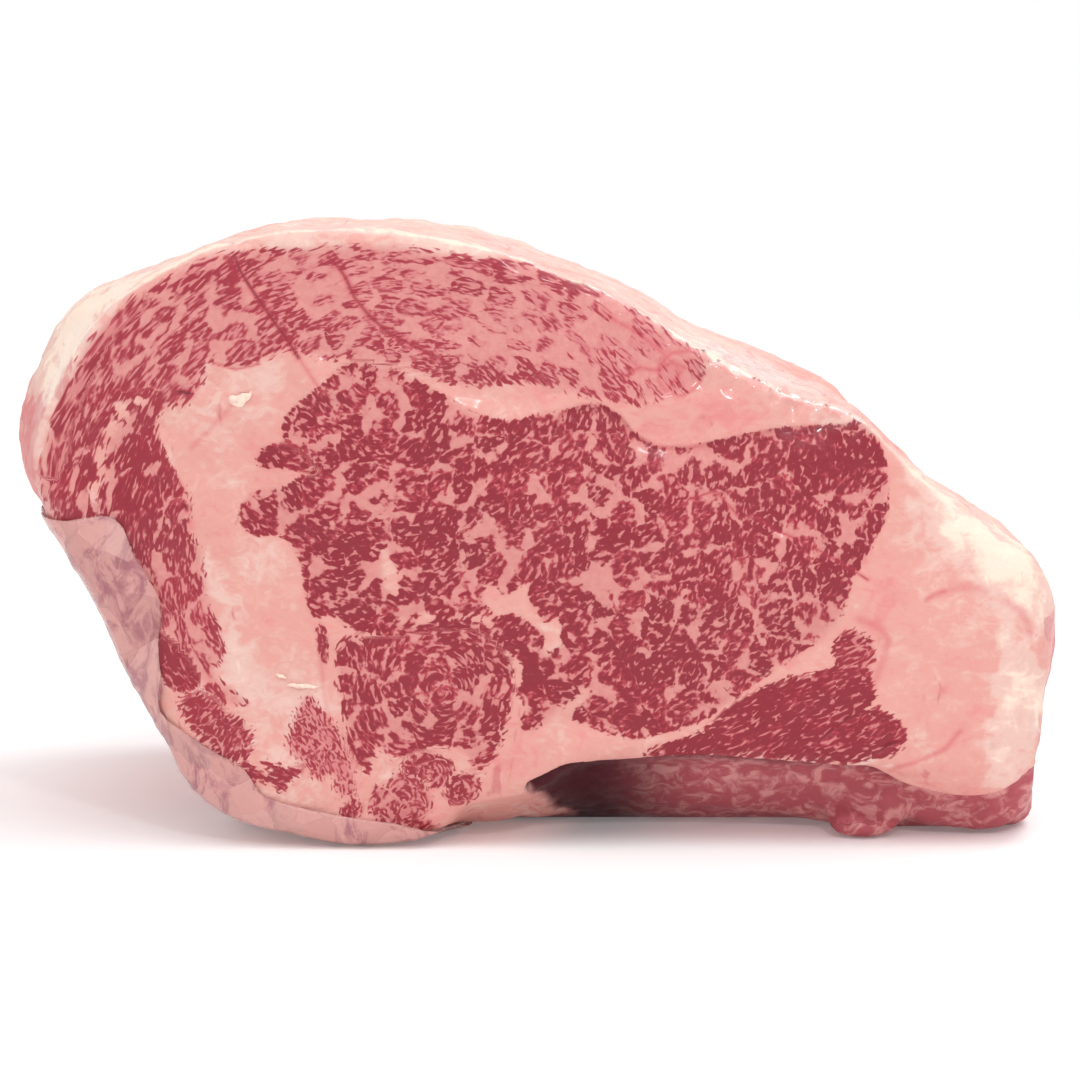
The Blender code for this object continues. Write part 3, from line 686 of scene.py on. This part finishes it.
def build_roast(sizes):
    piece = mesh_of_roast(sizes)
    skin = Skin(piece)
    inside, pattern, grain, fleck, fleck_shape = muscle_map(skin.points, skin.places)
    give_relief(piece, skin, inside)
    store(piece, "inside_muscle", np.clip(inside, -20, 20))
    store(piece, "pattern_place", pattern * MM)
    store(piece, "grain_way", grain)
    store(piece, "fleck", fleck)
    store(piece, "fleck_shape", fleck_shape)
    store(piece, "skin_tone", skin_values(skin, inside))
    # One number for both: above 0 the darkness of a cut, below 0 the painted shade of the hollow
    hollow_shade = skin.shade_of_hollow()
    cuts = cuts_and_ledge_shade(skin.places) * np.maximum(skin.front, skin.rear)
    cuts = np.where(hollow_shade > 0.02, -hollow_shade, cuts)
    store(piece, "surface_kind", np.stack((skin.side, skin.under, cuts), 1))
    piece.data.shade_smooth()
    return piece


def build_wrap():
    piece = copy_of_node("wrap_film", "wrap_film_skin")
    make_active(piece)
    bpy.ops.object.mode_set(mode="EDIT")
    bpy.ops.mesh.select_all(action="SELECT")
    bpy.ops.mesh.subdivide(number_cuts=3)
    bpy.ops.object.mode_set(mode="OBJECT")
    points = vertex_places(piece)
    normals = vertex_normals(piece)
    outward = np.where((normals @ np.array((-0.5, -0.6, -0.4)) > 0)[:, None], normals, -normals)
    folds = 0.5 - np.abs(lumps(points * (1.0, 0.7, 1.0), 15, 9.0)) * 2
    pleats = 0.4 - np.abs(lumps(points * (0.6, 1.0, 1.3), 7, 4.0)) * 1.5
    lifted = 0.9 * np.clip(folds, 0, 1) + 0.5 * np.clip(pleats, 0, 1)
    lifted *= smooth_step(0.6, 6, points[:, 2])
    place_vertices(piece, points + outward * lifted[:, None])
    piece.data.shade_smooth()
    return piece


def build_scraps(roast):
    """Small scraps of white fat that stick to the cut face."""
    parts = []
    for kind, (x, z), turn, length, width in SCRAPS:
        deselect_all()
        bpy.ops.mesh.primitive_uv_sphere_add(segments=24, ring_count=12, radius=1)
        part = bpy.context.object
        points = vertex_places(part) * MM
        share = points[:, 0]
        taper = 1 - (0.55 * share if kind == "curled" else 0.1 * share)
        along = share * length / 2
        across = points[:, 2] * width / 2 * taper + (0.32 * share**2 * width if kind == "curled" else 0)
        across += 0.18 * np.sin(share * 7) * width * 0.5
        out = -points[:, 1] * SCRAP_HALF_THICKNESS
        front = roast.ray_cast((MM * (x + ROW_FROM_FACE_X), -0.2, MM * z), (0, 1, 0))[1].y / MM
        points = np.stack((
            x + ROW_FROM_FACE_X + along * math.cos(turn) - across * math.sin(turn),
            front - SCRAP_STANDS_OUT - out,
            z + along * math.sin(turn) + across * math.cos(turn),
        ), 1)
        place_vertices(part, points)
        part.data.shade_smooth()
        parts.append(part)
    deselect_all()
    for part in parts:
        part.select_set(True)
    bpy.context.view_layer.objects.active = parts[0]
    bpy.ops.object.join()
    parts[0].name = "fat_scraps"
    return parts[0]


class Recipe:
    """Adds nodes to a tree and wires them. A value is a number, a colour or another node's output."""

    def __init__(self, tree):
        self.tree = tree

    def feed(self, socket, value):
        if isinstance(value, bpy.types.NodeSocket):
            self.tree.links.new(value, socket)
        elif socket.type == "RGBA":
            socket.default_value = (*value, 1)
        else:
            socket.default_value = value

    def node(self, kind, inputs=(), **settings):
        made = self.tree.nodes.new("ShaderNode" + kind)
        for name, value in settings.items():
            setattr(made, name, value)
        for key, value in dict(inputs).items():
            self.feed(made.inputs[key], value)
        return made

    def math(self, operation, *values, clamp=False):
        made = self.node("Math", operation=operation, use_clamp=clamp)
        for index, value in enumerate(values):
            self.feed(made.inputs[index], value)
        return made.outputs[0]

    def vector(self, operation, first, second=None, scale=None):
        made = self.node("VectorMath", operation=operation)
        self.feed(made.inputs[0], first)
        if second is not None:
            self.feed(made.inputs[1], second)
        if scale is not None:
            self.feed(made.inputs["Scale"], scale)
        return made.outputs[0]

    def ramp(self, value, low, high, to_low=0.0, to_high=1.0):
        """Smooth change from to_low to to_high as value goes from low to high."""
        made = self.node("MapRange", interpolation_type="SMOOTHSTEP")
        for key, number in zip(("Value", "From Min", "From Max", "To Min", "To Max"),
                               (value, low, high, to_low, to_high)):
            self.feed(made.inputs[key], number)
        return made.outputs[0]

    def mix(self, share, first, second):
        made = self.node("Mix", data_type="RGBA")
        self.feed(made.inputs[0], share)
        self.feed(made.inputs[6], first)
        self.feed(made.inputs[7], second)
        return made.outputs[2]

    def dot(self, first, second):
        return self.node("VectorMath", {0: first, 1: second}, operation="DOT_PRODUCT").outputs["Value"]

    def centred(self, vector):
        return self.vector("SUBTRACT", vector, (0.5, 0.5, 0.5))

    def noise(self, place, scale, detail=2.0, roughness=0.5, distortion=0.0, stretch=None):
        if stretch:
            place = self.vector("MULTIPLY", place, stretch)
        inputs = {"Vector": place, "Scale": scale, "Detail": detail, "Roughness": roughness,
                  "Distortion": distortion}
        return self.node("TexNoise", inputs).outputs[0]

    def bump(self, shader, height, strength, distance):
        made = self.node("Bump", {"Height": height, "Strength": strength, "Distance": distance})
        self.feed(shader.inputs["Normal"], made.outputs[0])

    def attribute(self, name, output):
        return self.node("Attribute", attribute_name=name).outputs[output]

    def split(self, vector):
        made = self.node("SeparateXYZ")
        self.feed(made.inputs[0], vector)
        return made.outputs

    def group(self, tree, **inputs):
        made = self.node("Group", node_tree=tree)
        for key, value in inputs.items():
            self.feed(made.inputs[key.replace("_", " ")], value)
        return made.outputs


def new_group(name, inputs, outputs):
    """An empty shader group with its sockets, its recipe, what comes in and what goes out."""
    tree = bpy.data.node_groups.new(name, "ShaderNodeTree")
    for label, kind in inputs:
        tree.interface.new_socket(label, in_out="INPUT", socket_type="NodeSocket" + kind)
    for label, kind in outputs:
        tree.interface.new_socket(label, in_out="OUTPUT", socket_type="NodeSocket" + kind)
    source = tree.nodes.new("NodeGroupInput")
    target = tree.nodes.new("NodeGroupOutput")
    return Recipe(tree), source.outputs, target.inputs


def marbling():
    """Where lean shows in a muscle: islands between fat lines, each of flecks that lie along the grain."""
    if "marbling" in bpy.data.node_groups:
        return bpy.data.node_groups["marbling"]
    inputs = [("Place", "Vector"), ("Grain Way", "Vector"), ("Fleck Size", "Float"),
              ("Lean Share", "Float"), ("Island Weight", "Float"), ("Drawn Out", "Float"),
              ("Inside", "Float"), ("Thinning", "Float")]
    outputs = [("Lean", "Float"), ("Fleck Depth", "Float"), ("Lake", "Float"), ("Island Tint", "Float")]
    recipe, given, wanted = new_group("marbling", inputs, outputs)
    scale = recipe.math("DIVIDE", 1000.0, given["Fleck Size"])
    unit = recipe.math("DIVIDE", 1.0, scale)
    flat = {"noise_dimensions": "2D"}
    inputs = {"Vector": given["Place"], "Scale": recipe.math("MULTIPLY", scale, 0.22), "Detail": 2.5,
              "Roughness": 0.6}
    wobble = recipe.node("TexNoise", inputs, **flat)
    wander = recipe.math("MULTIPLY", unit, 4.0)
    shift = recipe.vector("SCALE", recipe.centred(wobble.outputs[1]), scale=wander)
    place = recipe.vector("ADD", given["Place"], shift)
    cell_inputs = {"Vector": place, "Scale": recipe.math("MULTIPLY", scale, 0.165), "Randomness": 1.0}
    cells = recipe.node("TexVoronoi", cell_inputs, feature="F1", voronoi_dimensions="2D")
    borders = recipe.node("TexVoronoi", cell_inputs, feature="DISTANCE_TO_EDGE", voronoi_dimensions="2D")
    inputs = {"Vector": given["Place"], "Scale": recipe.math("MULTIPLY", scale, 0.11), "Detail": 1.5}
    patches = recipe.node("TexNoise", inputs, **flat)
    patches = recipe.math("SUBTRACT", patches.outputs[0], 0.5)
    share = recipe.math("SUBTRACT", given["Lean Share"], 0.5)

    chance = recipe.split(cells.outputs["Color"])
    spread = recipe.math("MULTIPLY_ADD", given["Island Weight"], 0.6, 0.5)
    turn = recipe.math("MULTIPLY", recipe.math("SUBTRACT", chance[0], 0.5), spread)
    way = recipe.node("VectorRotate", {"Vector": given["Grain Way"], "Angle": turn}, rotation_type="Z_AXIS")
    way = way.outputs[0]
    from_centre = recipe.vector("SUBTRACT", given["Place"], cells.outputs["Position"])
    along = recipe.dot(from_centre, way)
    shorten = recipe.math("SUBTRACT", recipe.math("DIVIDE", 1.0, given["Drawn Out"]), 1.0)
    back = recipe.vector("SCALE", way, scale=recipe.math("MULTIPLY", along, shorten))
    own_place = recipe.vector("ADD", recipe.vector("ADD", from_centre, back), cells.outputs["Color"])
    flecks = recipe.node("TexNoise", {"Vector": own_place, "Scale": scale, "Detail": 1.0,
                                      "Roughness": 0.5, "Distortion": 0.3}, **flat)
    fleck = recipe.math("MULTIPLY", recipe.math("SUBTRACT", flecks.outputs[0], 0.5), 1.3)
    level = recipe.math("MULTIPLY_ADD", patches, 0.25, recipe.math("MULTIPLY", share, 0.9))
    fleck = recipe.math("ADD", fleck, level)

    varied = recipe.math("SUBTRACT", recipe.split(wobble.outputs[1])[2], 0.5)
    lake_width = recipe.math("MULTIPLY_ADD", patches, -0.8, recipe.math("MULTIPLY", varied, 0.9))
    lake_width = recipe.math("ADD", lake_width, recipe.math("MULTIPLY_ADD", share, -0.5, 0.18))
    lake_width = recipe.math("MULTIPLY", lake_width, given["Island Weight"])
    edge = recipe.math("SUBTRACT", borders.outputs[0], lake_width)
    edge = recipe.math("ADD", edge, recipe.ramp(given["Island Weight"], 0.0, 0.2, 0.5, 0.0))
    island = recipe.math("MULTIPLY_ADD", fleck, 0.28, edge)
    rim = recipe.ramp(edge, 0.0, 0.22, 0.15, -0.03)
    depth = recipe.math("MINIMUM", recipe.math("ADD", fleck, rim), recipe.math("MULTIPLY", island, 1.5))
    slope = recipe.math("MULTIPLY_ADD", given["Thinning"], -0.34, 0.4)
    reach = recipe.math("MULTIPLY_ADD", given["Thinning"], 0.5, 0.5)
    border = recipe.math("MULTIPLY", given["Inside"], slope)
    border = recipe.math("MULTIPLY_ADD", fleck, reach, border)
    depth = recipe.math("MINIMUM", depth, border)
    recipe.feed(wanted["Lean"], recipe.ramp(depth, -0.08, 0.08))
    recipe.feed(wanted["Fleck Depth"], recipe.ramp(depth, 0.0, 0.28))
    recipe.feed(wanted["Lake"], recipe.ramp(edge, 0.05, -0.18))
    recipe.feed(wanted["Island Tint"], chance[1])
    return recipe.tree


def new_material(name):
    """A material, its shader, a recipe for its nodes and the place on the object."""
    material = bpy.data.materials.new(name)
    material.use_nodes = True
    recipe = Recipe(material.node_tree)
    place = recipe.node("TexCoord").outputs["Object"]
    return material, material.node_tree.nodes["Principled BSDF"], recipe, place


def fat_by_tone(recipe, colours, tone):
    """Fat that goes from pink over plain and pale to cream as tone goes from 0 to 3."""
    fat = recipe.mix(recipe.ramp(tone, 0.0, 1.0), colours.pink_fat, colours.fat)
    fat = recipe.mix(recipe.ramp(tone, 1.0, 2.0), fat, colours.pale_fat)
    return recipe.mix(recipe.ramp(tone, 2.0, 3.0), fat, colours.cream_fat)


def outer_colour(recipe, colours, place, fat, redness, under):
    """Smeared skin of the sides and streaked meat of the rib side."""
    smear = recipe.noise(place, 190, 4, 0.65, 0.8, stretch=(1.0, 0.3, 0.8))
    smear = recipe.math("ADD", smear, recipe.math("MULTIPLY", redness, 0.25))
    outer = recipe.mix(recipe.ramp(smear, 0.6, 0.8, 0.0, 0.55), fat, colours.vein)
    streak = recipe.noise(place, 230, 4, 0.62, 0.9, stretch=(0.8, 0.5, 1.0))
    rib = recipe.mix(recipe.ramp(streak, 0.44, 0.66), colours.rib_meat, colours.rib_fat)
    return recipe.mix(under, outer, rib)


def with_cuts_and_shade(recipe, colours, colour, lean, crack_and_shade):
    """Cuts, pink and faint in fat and dark in lean, near-black painted shade at the bottom of deep cuts,
    and the painted shade of the hollow where the value is below 0.
    """
    cut = recipe.mix(lean, colours.vein, colours.cut)
    cut = recipe.mix(recipe.ramp(crack_and_shade, 0.45, 0.75), cut, colours.cut)
    # The deepest cuts go near-black: painted shade at their bottom
    cut = recipe.mix(recipe.ramp(crack_and_shade, 0.75, 1.0), cut, colours.crack_and_shade)
    colour = recipe.mix(recipe.math("MAXIMUM", crack_and_shade, 0.0), colour, cut)
    # Below 0: painted shade in the hollow under the front edge
    return recipe.mix(recipe.math("MULTIPLY", crack_and_shade, -0.95, clamp=True), colour, colours.crack_and_shade)


def wet_finish(recipe, shader, wet, wetness, outside):
    """Roughness and clear coat: wetter fat is smoother, and the outside of the roast is duller."""
    dry = recipe.ramp(wet, 0.35, 0.7, 0.36, 0.58)
    smoother = recipe.ramp(wetness, 0.0, 1.2, 0.0, 0.22)
    recipe.feed(shader.inputs["Roughness"], recipe.math("SUBTRACT", dry, smoother))
    coat = recipe.math("MULTIPLY_ADD", outside, -0.8, recipe.math("MINIMUM", wetness, 1.0))
    recipe.feed(shader.inputs["Coat Weight"], recipe.ramp(coat, -0.35, 1.0, 0.0, 1.0))
    recipe.feed(shader.inputs["Specular IOR Level"], recipe.ramp(outside, 0.0, 1.0, 0.4, 0.12))
    shader.inputs["Coat Roughness"].default_value = 0.13


def beef_material(colours):
    """Lean, fat, outer skin and rib side of the roast."""
    material, shader, recipe, place = new_material("marbled_beef")
    inside = recipe.attribute("inside_muscle", "Fac")
    fleck = recipe.split(recipe.attribute("fleck", "Vector"))
    drawn_out, paleness, thinning = recipe.split(recipe.attribute("fleck_shape", "Vector"))
    # The third value holds a cut's darkness above 0 and the painted shade of the hollow below 0
    side, under, crack_and_shade = recipe.split(recipe.attribute("surface_kind", "Vector"))
    skin_tone, redness, wetness = recipe.split(recipe.attribute("skin_tone", "Vector"))
    outside = recipe.math("MAXIMUM", side, under)

    marbled = recipe.group(marbling(), Place=recipe.attribute("pattern_place", "Vector"),
                           Grain_Way=recipe.attribute("grain_way", "Vector"), Fleck_Size=fleck[0],
                           Lean_Share=fleck[1], Island_Weight=fleck[2], Drawn_Out=drawn_out, Inside=inside,
                           Thinning=thinning)
    lean, body, lake, tint = marbled[0], marbled[1], marbled[2], marbled[3]
    broad = recipe.noise(place, 60, 4, 0.62)
    fine = recipe.noise(place, 520, 2, 0.6)
    wet = recipe.noise(place, 170, 3, 0.6)
    veined = recipe.noise(place, 190, 4, 0.6, 1.0, stretch=(1.0, 1.0, 1.5))

    tone = recipe.math("ADD", skin_tone, recipe.math("MULTIPLY", recipe.math("SUBTRACT", broad, 0.5), 3.0))
    tone = recipe.math("MULTIPLY_ADD", recipe.math("SUBTRACT", veined, 0.5), 2.4, tone)
    fat = fat_by_tone(recipe, colours, tone)
    red_tissue = recipe.noise(place, 170, 3, 0.6, 0.4, stretch=(1.0, 0.6, 0.45))
    red_tissue = recipe.math("ADD", red_tissue, recipe.math("MULTIPLY", redness, 0.16))
    face_fat = recipe.mix(recipe.ramp(red_tissue, 0.66, 0.76, 0.0, 0.6), fat, colours.pale_lean)
    marbling_fat = recipe.mix(paleness, colours.marbling_fat, colours.pale_marbling_fat)
    marbling_fat = recipe.mix(recipe.math("MULTIPLY", lake, 0.5), marbling_fat, colours.fat)
    marbling_fat = recipe.mix(recipe.ramp(fine, 0.35, 0.65, 0.25, 0.0), marbling_fat, colours.pale_lean)
    face_fat = recipe.mix(recipe.ramp(inside, -1.5, 1.8), face_fat, marbling_fat)

    red = recipe.mix(paleness, colours.lean, colours.pale_lean)
    dark = recipe.mix(paleness, colours.deep_lean, colours.lean)
    darker = recipe.math("ADD", body, recipe.math("MULTIPLY_ADD", tint, 0.7, veined))
    meat = recipe.mix(recipe.ramp(darker, 0.6, 1.6), red, dark)
    colour = recipe.mix(lean, face_fat, meat)
    colour = recipe.mix(outside, colour, outer_colour(recipe, colours, place, fat, redness, under))
    recipe.feed(shader.inputs["Base Color"], with_cuts_and_shade(recipe, colours, colour, lean, crack_and_shade))

    wet_finish(recipe, shader, wet, wetness, outside)
    height = recipe.math("ADD", recipe.math("MULTIPLY", fine, 0.5), recipe.math("MULTIPLY", wet, 0.9))
    height = recipe.math("ADD", height, recipe.math("MULTIPLY", broad, 1.2))
    recipe.bump(shader, height, recipe.ramp(side, 0.0, 1.0, 0.7, 0.1), 0.0009)
    return material


def wrap_material(colours):
    """Thin clear wrap: the meat shows through, lavender in blotches, and its pale facets are painted
    highlights on the creased film, partly milky film where it is doubled.
    """
    material, shader, recipe, place = new_material("clear_wrap")
    blotch = recipe.noise(place, 95, 5, 0.68, 1.0, stretch=(1.3, 0.6, 0.8))
    wander = recipe.node("TexNoise", {"Vector": place, "Scale": 60.0, "Detail": 1.0})
    shift = recipe.vector("SCALE", recipe.centred(wander.outputs[1]), scale=0.012)
    wandering = recipe.vector("MULTIPLY", recipe.vector("ADD", place, shift), (1.2, 0.6, 0.8))
    facets = recipe.node("TexVoronoi", {"Vector": wandering, "Scale": 95.0}, feature="F1")
    from_middle = recipe.vector("SUBTRACT", wandering, facets.outputs["Position"])
    tilt = recipe.dot(recipe.centred(facets.outputs["Color"]), from_middle)
    chance = recipe.split(facets.outputs["Color"])
    tint = recipe.mix(recipe.ramp(blotch, 0.48, 0.64), colours.wrap, colours.wrap_shade)
    # Pale facets: painted highlights on the creases, partly milky doubled film
    tint = recipe.mix(recipe.ramp(chance[0], 0.5, 1.0, 0.0, 0.35), tint, colours.wrap_fold_highlight)
    recipe.feed(shader.inputs["Base Color"], tint)
    recipe.feed(shader.inputs["Alpha"], recipe.ramp(chance[1], 0.0, 1.0, 0.55, 0.78))
    shader.inputs["Roughness"].default_value = 0.24
    height = recipe.math("MULTIPLY_ADD", tilt, 0.22, recipe.math("MULTIPLY", blotch, 0.0016))
    recipe.bump(shader, height, 0.8, 1.0)
    return material


def scrap_material(colours):
    """White fat that has come loose."""
    material, shader, recipe, place = new_material("loose_fat")
    grain = recipe.noise(place, 700, 2)
    tint = recipe.mix(recipe.ramp(grain, 0.35, 0.7), colours.cream_fat, colours.pale_fat)
    recipe.feed(shader.inputs["Base Color"], tint)
    shader.inputs["Roughness"].default_value = 0.4
    recipe.bump(shader, grain, 0.5, 0.0004)
    return material


def colour_property(name, description, default):
    return FloatVectorProperty(name=name, description=description, subtype="COLOR", size=3, min=0, max=1,
                               default=default)


class RoastSizes(bpy.types.PropertyGroup):
    mesh_spacing: FloatProperty(
        name="Mesh spacing", description="Distance between vertices away from the cut face",
        default=0.002, unit="LENGTH", min=0.001, max=0.01,
    )


class RoastColours(bpy.types.PropertyGroup):
    lean: colour_property("Lean", "Lean meat at the edge of a fleck", (0.41, 0.033, 0.055))
    deep_lean: colour_property("Deep lean", "Lean meat in the middle of a fleck", (0.25, 0.006, 0.02))
    pale_lean: colour_property("Pale lean", "Lean meat of the outer muscles", (0.56, 0.13, 0.15))
    marbling_fat: colour_property("Marbling fat", "Fat between the flecks", (0.61, 0.195, 0.19))
    pale_marbling_fat: colour_property("Pale marbling fat", "Fat in the outer muscles", (0.68, 0.235, 0.23))
    pink_fat: colour_property("Pink fat", "Broad fat where it is thin", (0.74, 0.255, 0.24))
    fat: colour_property("Fat", "Broad fat", (0.75, 0.345, 0.30))
    pale_fat: colour_property("Pale fat", "Broad fat where it is thick", (0.79, 0.505, 0.44))
    cream_fat: colour_property("Cream fat", "Fat at the trimmed edges", (0.93, 0.73, 0.60))
    vein: colour_property("Vein", "Blood and fine lines in the fat", (0.62, 0.08, 0.11))
    rib_meat: colour_property("Rib meat", "Meat of the rib side", (0.45, 0.10, 0.12))
    rib_fat: colour_property("Rib fat", "Fat streaks of the rib side", (0.69, 0.30, 0.29))
    cut: colour_property("Cut", "Shallow knife cuts", (0.36, 0.018, 0.04))
    # Near-black: painted shade at the bottom of deep cuts and in the hollow under the front edge
    crack_and_shade: colour_property("Crack", "Bottom of deep cracks", (0.055, 0.008, 0.012))
    wrap: colour_property("Wrap", "Clear wrap over fat", (0.81, 0.42, 0.385))
    wrap_shade: colour_property("Wrap shade", "Clear wrap over lean", (0.50, 0.19, 0.225))
    # Pale facets of the wrap: painted highlights on its creases, partly milky doubled film
    wrap_fold_highlight: colour_property("Wrap fold", "Clear wrap where it is doubled", (0.90, 0.60, 0.55))


class RIBROAST_OT_meat(bpy.types.Operator):
    """Build the roast from the frame's solid, with its relief and marbling"""

    bl_idname = "ribroast.meat"
    bl_label = "Build Roast"

    def execute(self, context):
        piece = build_roast(context.scene.roast_sizes)
        piece.data.materials.append(beef_material(context.scene.roast_colours))
        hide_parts("rib_roast")
        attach(piece, "root")
        return {"FINISHED"}


class RIBROAST_OT_wrap(bpy.types.Operator):
    """Build the clear wrap that clings to the lower left side"""

    bl_idname = "ribroast.wrap"
    bl_label = "Build Wrap"

    def execute(self, context):
        piece = build_wrap()
        piece.data.materials.append(wrap_material(context.scene.roast_colours))
        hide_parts("wrap_film")
        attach(piece, "root")
        return {"FINISHED"}


class RIBROAST_OT_scraps(bpy.types.Operator):
    """Build the small scraps of loose fat on the cut face"""

    bl_idname = "ribroast.scraps"
    bl_label = "Build Scraps"

    def execute(self, context):
        piece = build_scraps(bpy.data.objects["roast_meat"])
        piece.data.materials.append(scrap_material(context.scene.roast_colours))
        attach(piece, "root")
        return {"FINISHED"}


def add_lamp(name, kind, strength, turn):
    light = bpy.data.lights.new(name, kind)
    light.energy = strength
    lamp = bpy.data.objects.new(name, light)
    bpy.context.scene.collection.objects.link(lamp)
    lamp.rotation_euler = turn.to_euler()
    return lamp


def area_light(name, place, target, size, power):
    lamp = add_lamp(name, "AREA", power, (Vector(target) - Vector(place)).to_track_quat("-Z", "Y"))
    lamp.location = place
    lamp.data.shape = "RECTANGLE"
    lamp.data.size, lamp.data.size_y = size


def soft_sun(name, towards, spread, strength):
    lamp = add_lamp(name, "SUN", strength, Vector(towards).to_track_quat("Z", "Y"))
    lamp.data.angle = math.radians(spread)


class RIBROAST_OT_stage(bpy.types.Operator):
    """Add the pale floor, the soft lights and the camera"""

    bl_idname = "ribroast.stage"
    bl_label = "Build Stage"

    def execute(self, context):
        deselect_all()
        bpy.ops.mesh.primitive_plane_add(size=8, location=(0, 0, 0))
        floor = context.object
        floor.name = "floor"
        paint = bpy.data.materials.new("pale_floor")
        paint.use_nodes = True
        shader = paint.node_tree.nodes["Principled BSDF"]
        shader.inputs["Base Color"].default_value = (0.93, 0.93, 0.93, 1)
        shader.inputs["Roughness"].default_value = 0.9
        shader.inputs["Emission Color"].default_value = (1, 1, 1, 1)
        shader.inputs["Emission Strength"].default_value = 0.12
        shader.inputs["Specular IOR Level"].default_value = 0.1
        floor.data.materials.append(paint)

        world = context.scene.world or bpy.data.worlds.new("studio")
        context.scene.world = world
        world.use_nodes = True
        recipe = Recipe(world.node_tree)
        background = world.node_tree.nodes["Background"]
        background.inputs["Color"].default_value = (1, 1, 1, 1)
        path = recipe.node("LightPath").outputs
        seen = recipe.math("MAXIMUM", path["Is Camera Ray"], path["Is Glossy Ray"])
        recipe.feed(background.inputs["Strength"], recipe.ramp(seen, 0, 1, 0.50, 1.0))
        soft_sun("overhead", (0.15, -0.34, 0.93), 55, 1.28)
        soft_sun("left fill", (-0.75, -0.3, 0.58), 60, 0.55)
        area_light("wet highlights", (0.35, 0.25, 0.75), (0.03, -0.03, 0.12), (0.5, 0.25), 2.0)
        area_light("glints", (0.2, -0.8, 0.52), (0.02, -0.08, 0.1), (0.05, 0.04), 1.0)

        camera = bpy.data.cameras.new("camera")
        camera.sensor_width = 36
        camera.lens = camera.sensor_width * CAMERA_DISTANCE / SEEN_WIDTH
        view = bpy.data.objects.new("camera", camera)
        context.scene.collection.objects.link(view)
        back = Vector((0, -math.cos(CAMERA_ELEVATION), math.sin(CAMERA_ELEVATION)))
        view.location = Vector(CAMERA_AIM) * MM + CAMERA_DISTANCE * back
        view.rotation_euler = (math.pi / 2 - CAMERA_ELEVATION, 0, 0)
        context.scene.camera = view
        context.scene.view_settings.view_transform = "Standard"
        return {"FINISHED"}


class RIBROAST_PT_panel(bpy.types.Panel):
    """Sizes, colours and build steps of the rib roast"""

    bl_label = "Rib Roast"
    bl_idname = "RIBROAST_PT_panel"
    bl_space_type = "VIEW_3D"
    bl_region_type = "UI"
    bl_category = "Rib Roast"

    def draw(self, context):
        for group in (context.scene.roast_sizes, context.scene.roast_colours):
            for name in group.__annotations__:
                self.layout.prop(group, name)
        for operator in OPERATORS:
            self.layout.operator(operator.bl_idname)


OPERATORS = (RIBROAST_OT_meat, RIBROAST_OT_wrap, RIBROAST_OT_scraps, RIBROAST_OT_stage)
CLASSES = (RoastSizes, RoastColours, *OPERATORS, RIBROAST_PT_panel)


def register():
    for cls in CLASSES:
        bpy.utils.register_class(cls)
    bpy.types.Scene.roast_sizes = PointerProperty(type=RoastSizes)
    bpy.types.Scene.roast_colours = PointerProperty(type=RoastColours)


def unregister():
    del bpy.types.Scene.roast_colours
    del bpy.types.Scene.roast_sizes
    for cls in reversed(CLASSES):
        bpy.utils.unregister_class(cls)


def main():
    register()
    deselect_all()
    bpy.ops.ribroast.meat()
    bpy.ops.ribroast.wrap()
    bpy.ops.ribroast.scraps()
    bpy.ops.ribroast.stage()


if __name__ == "__main__":
    main()
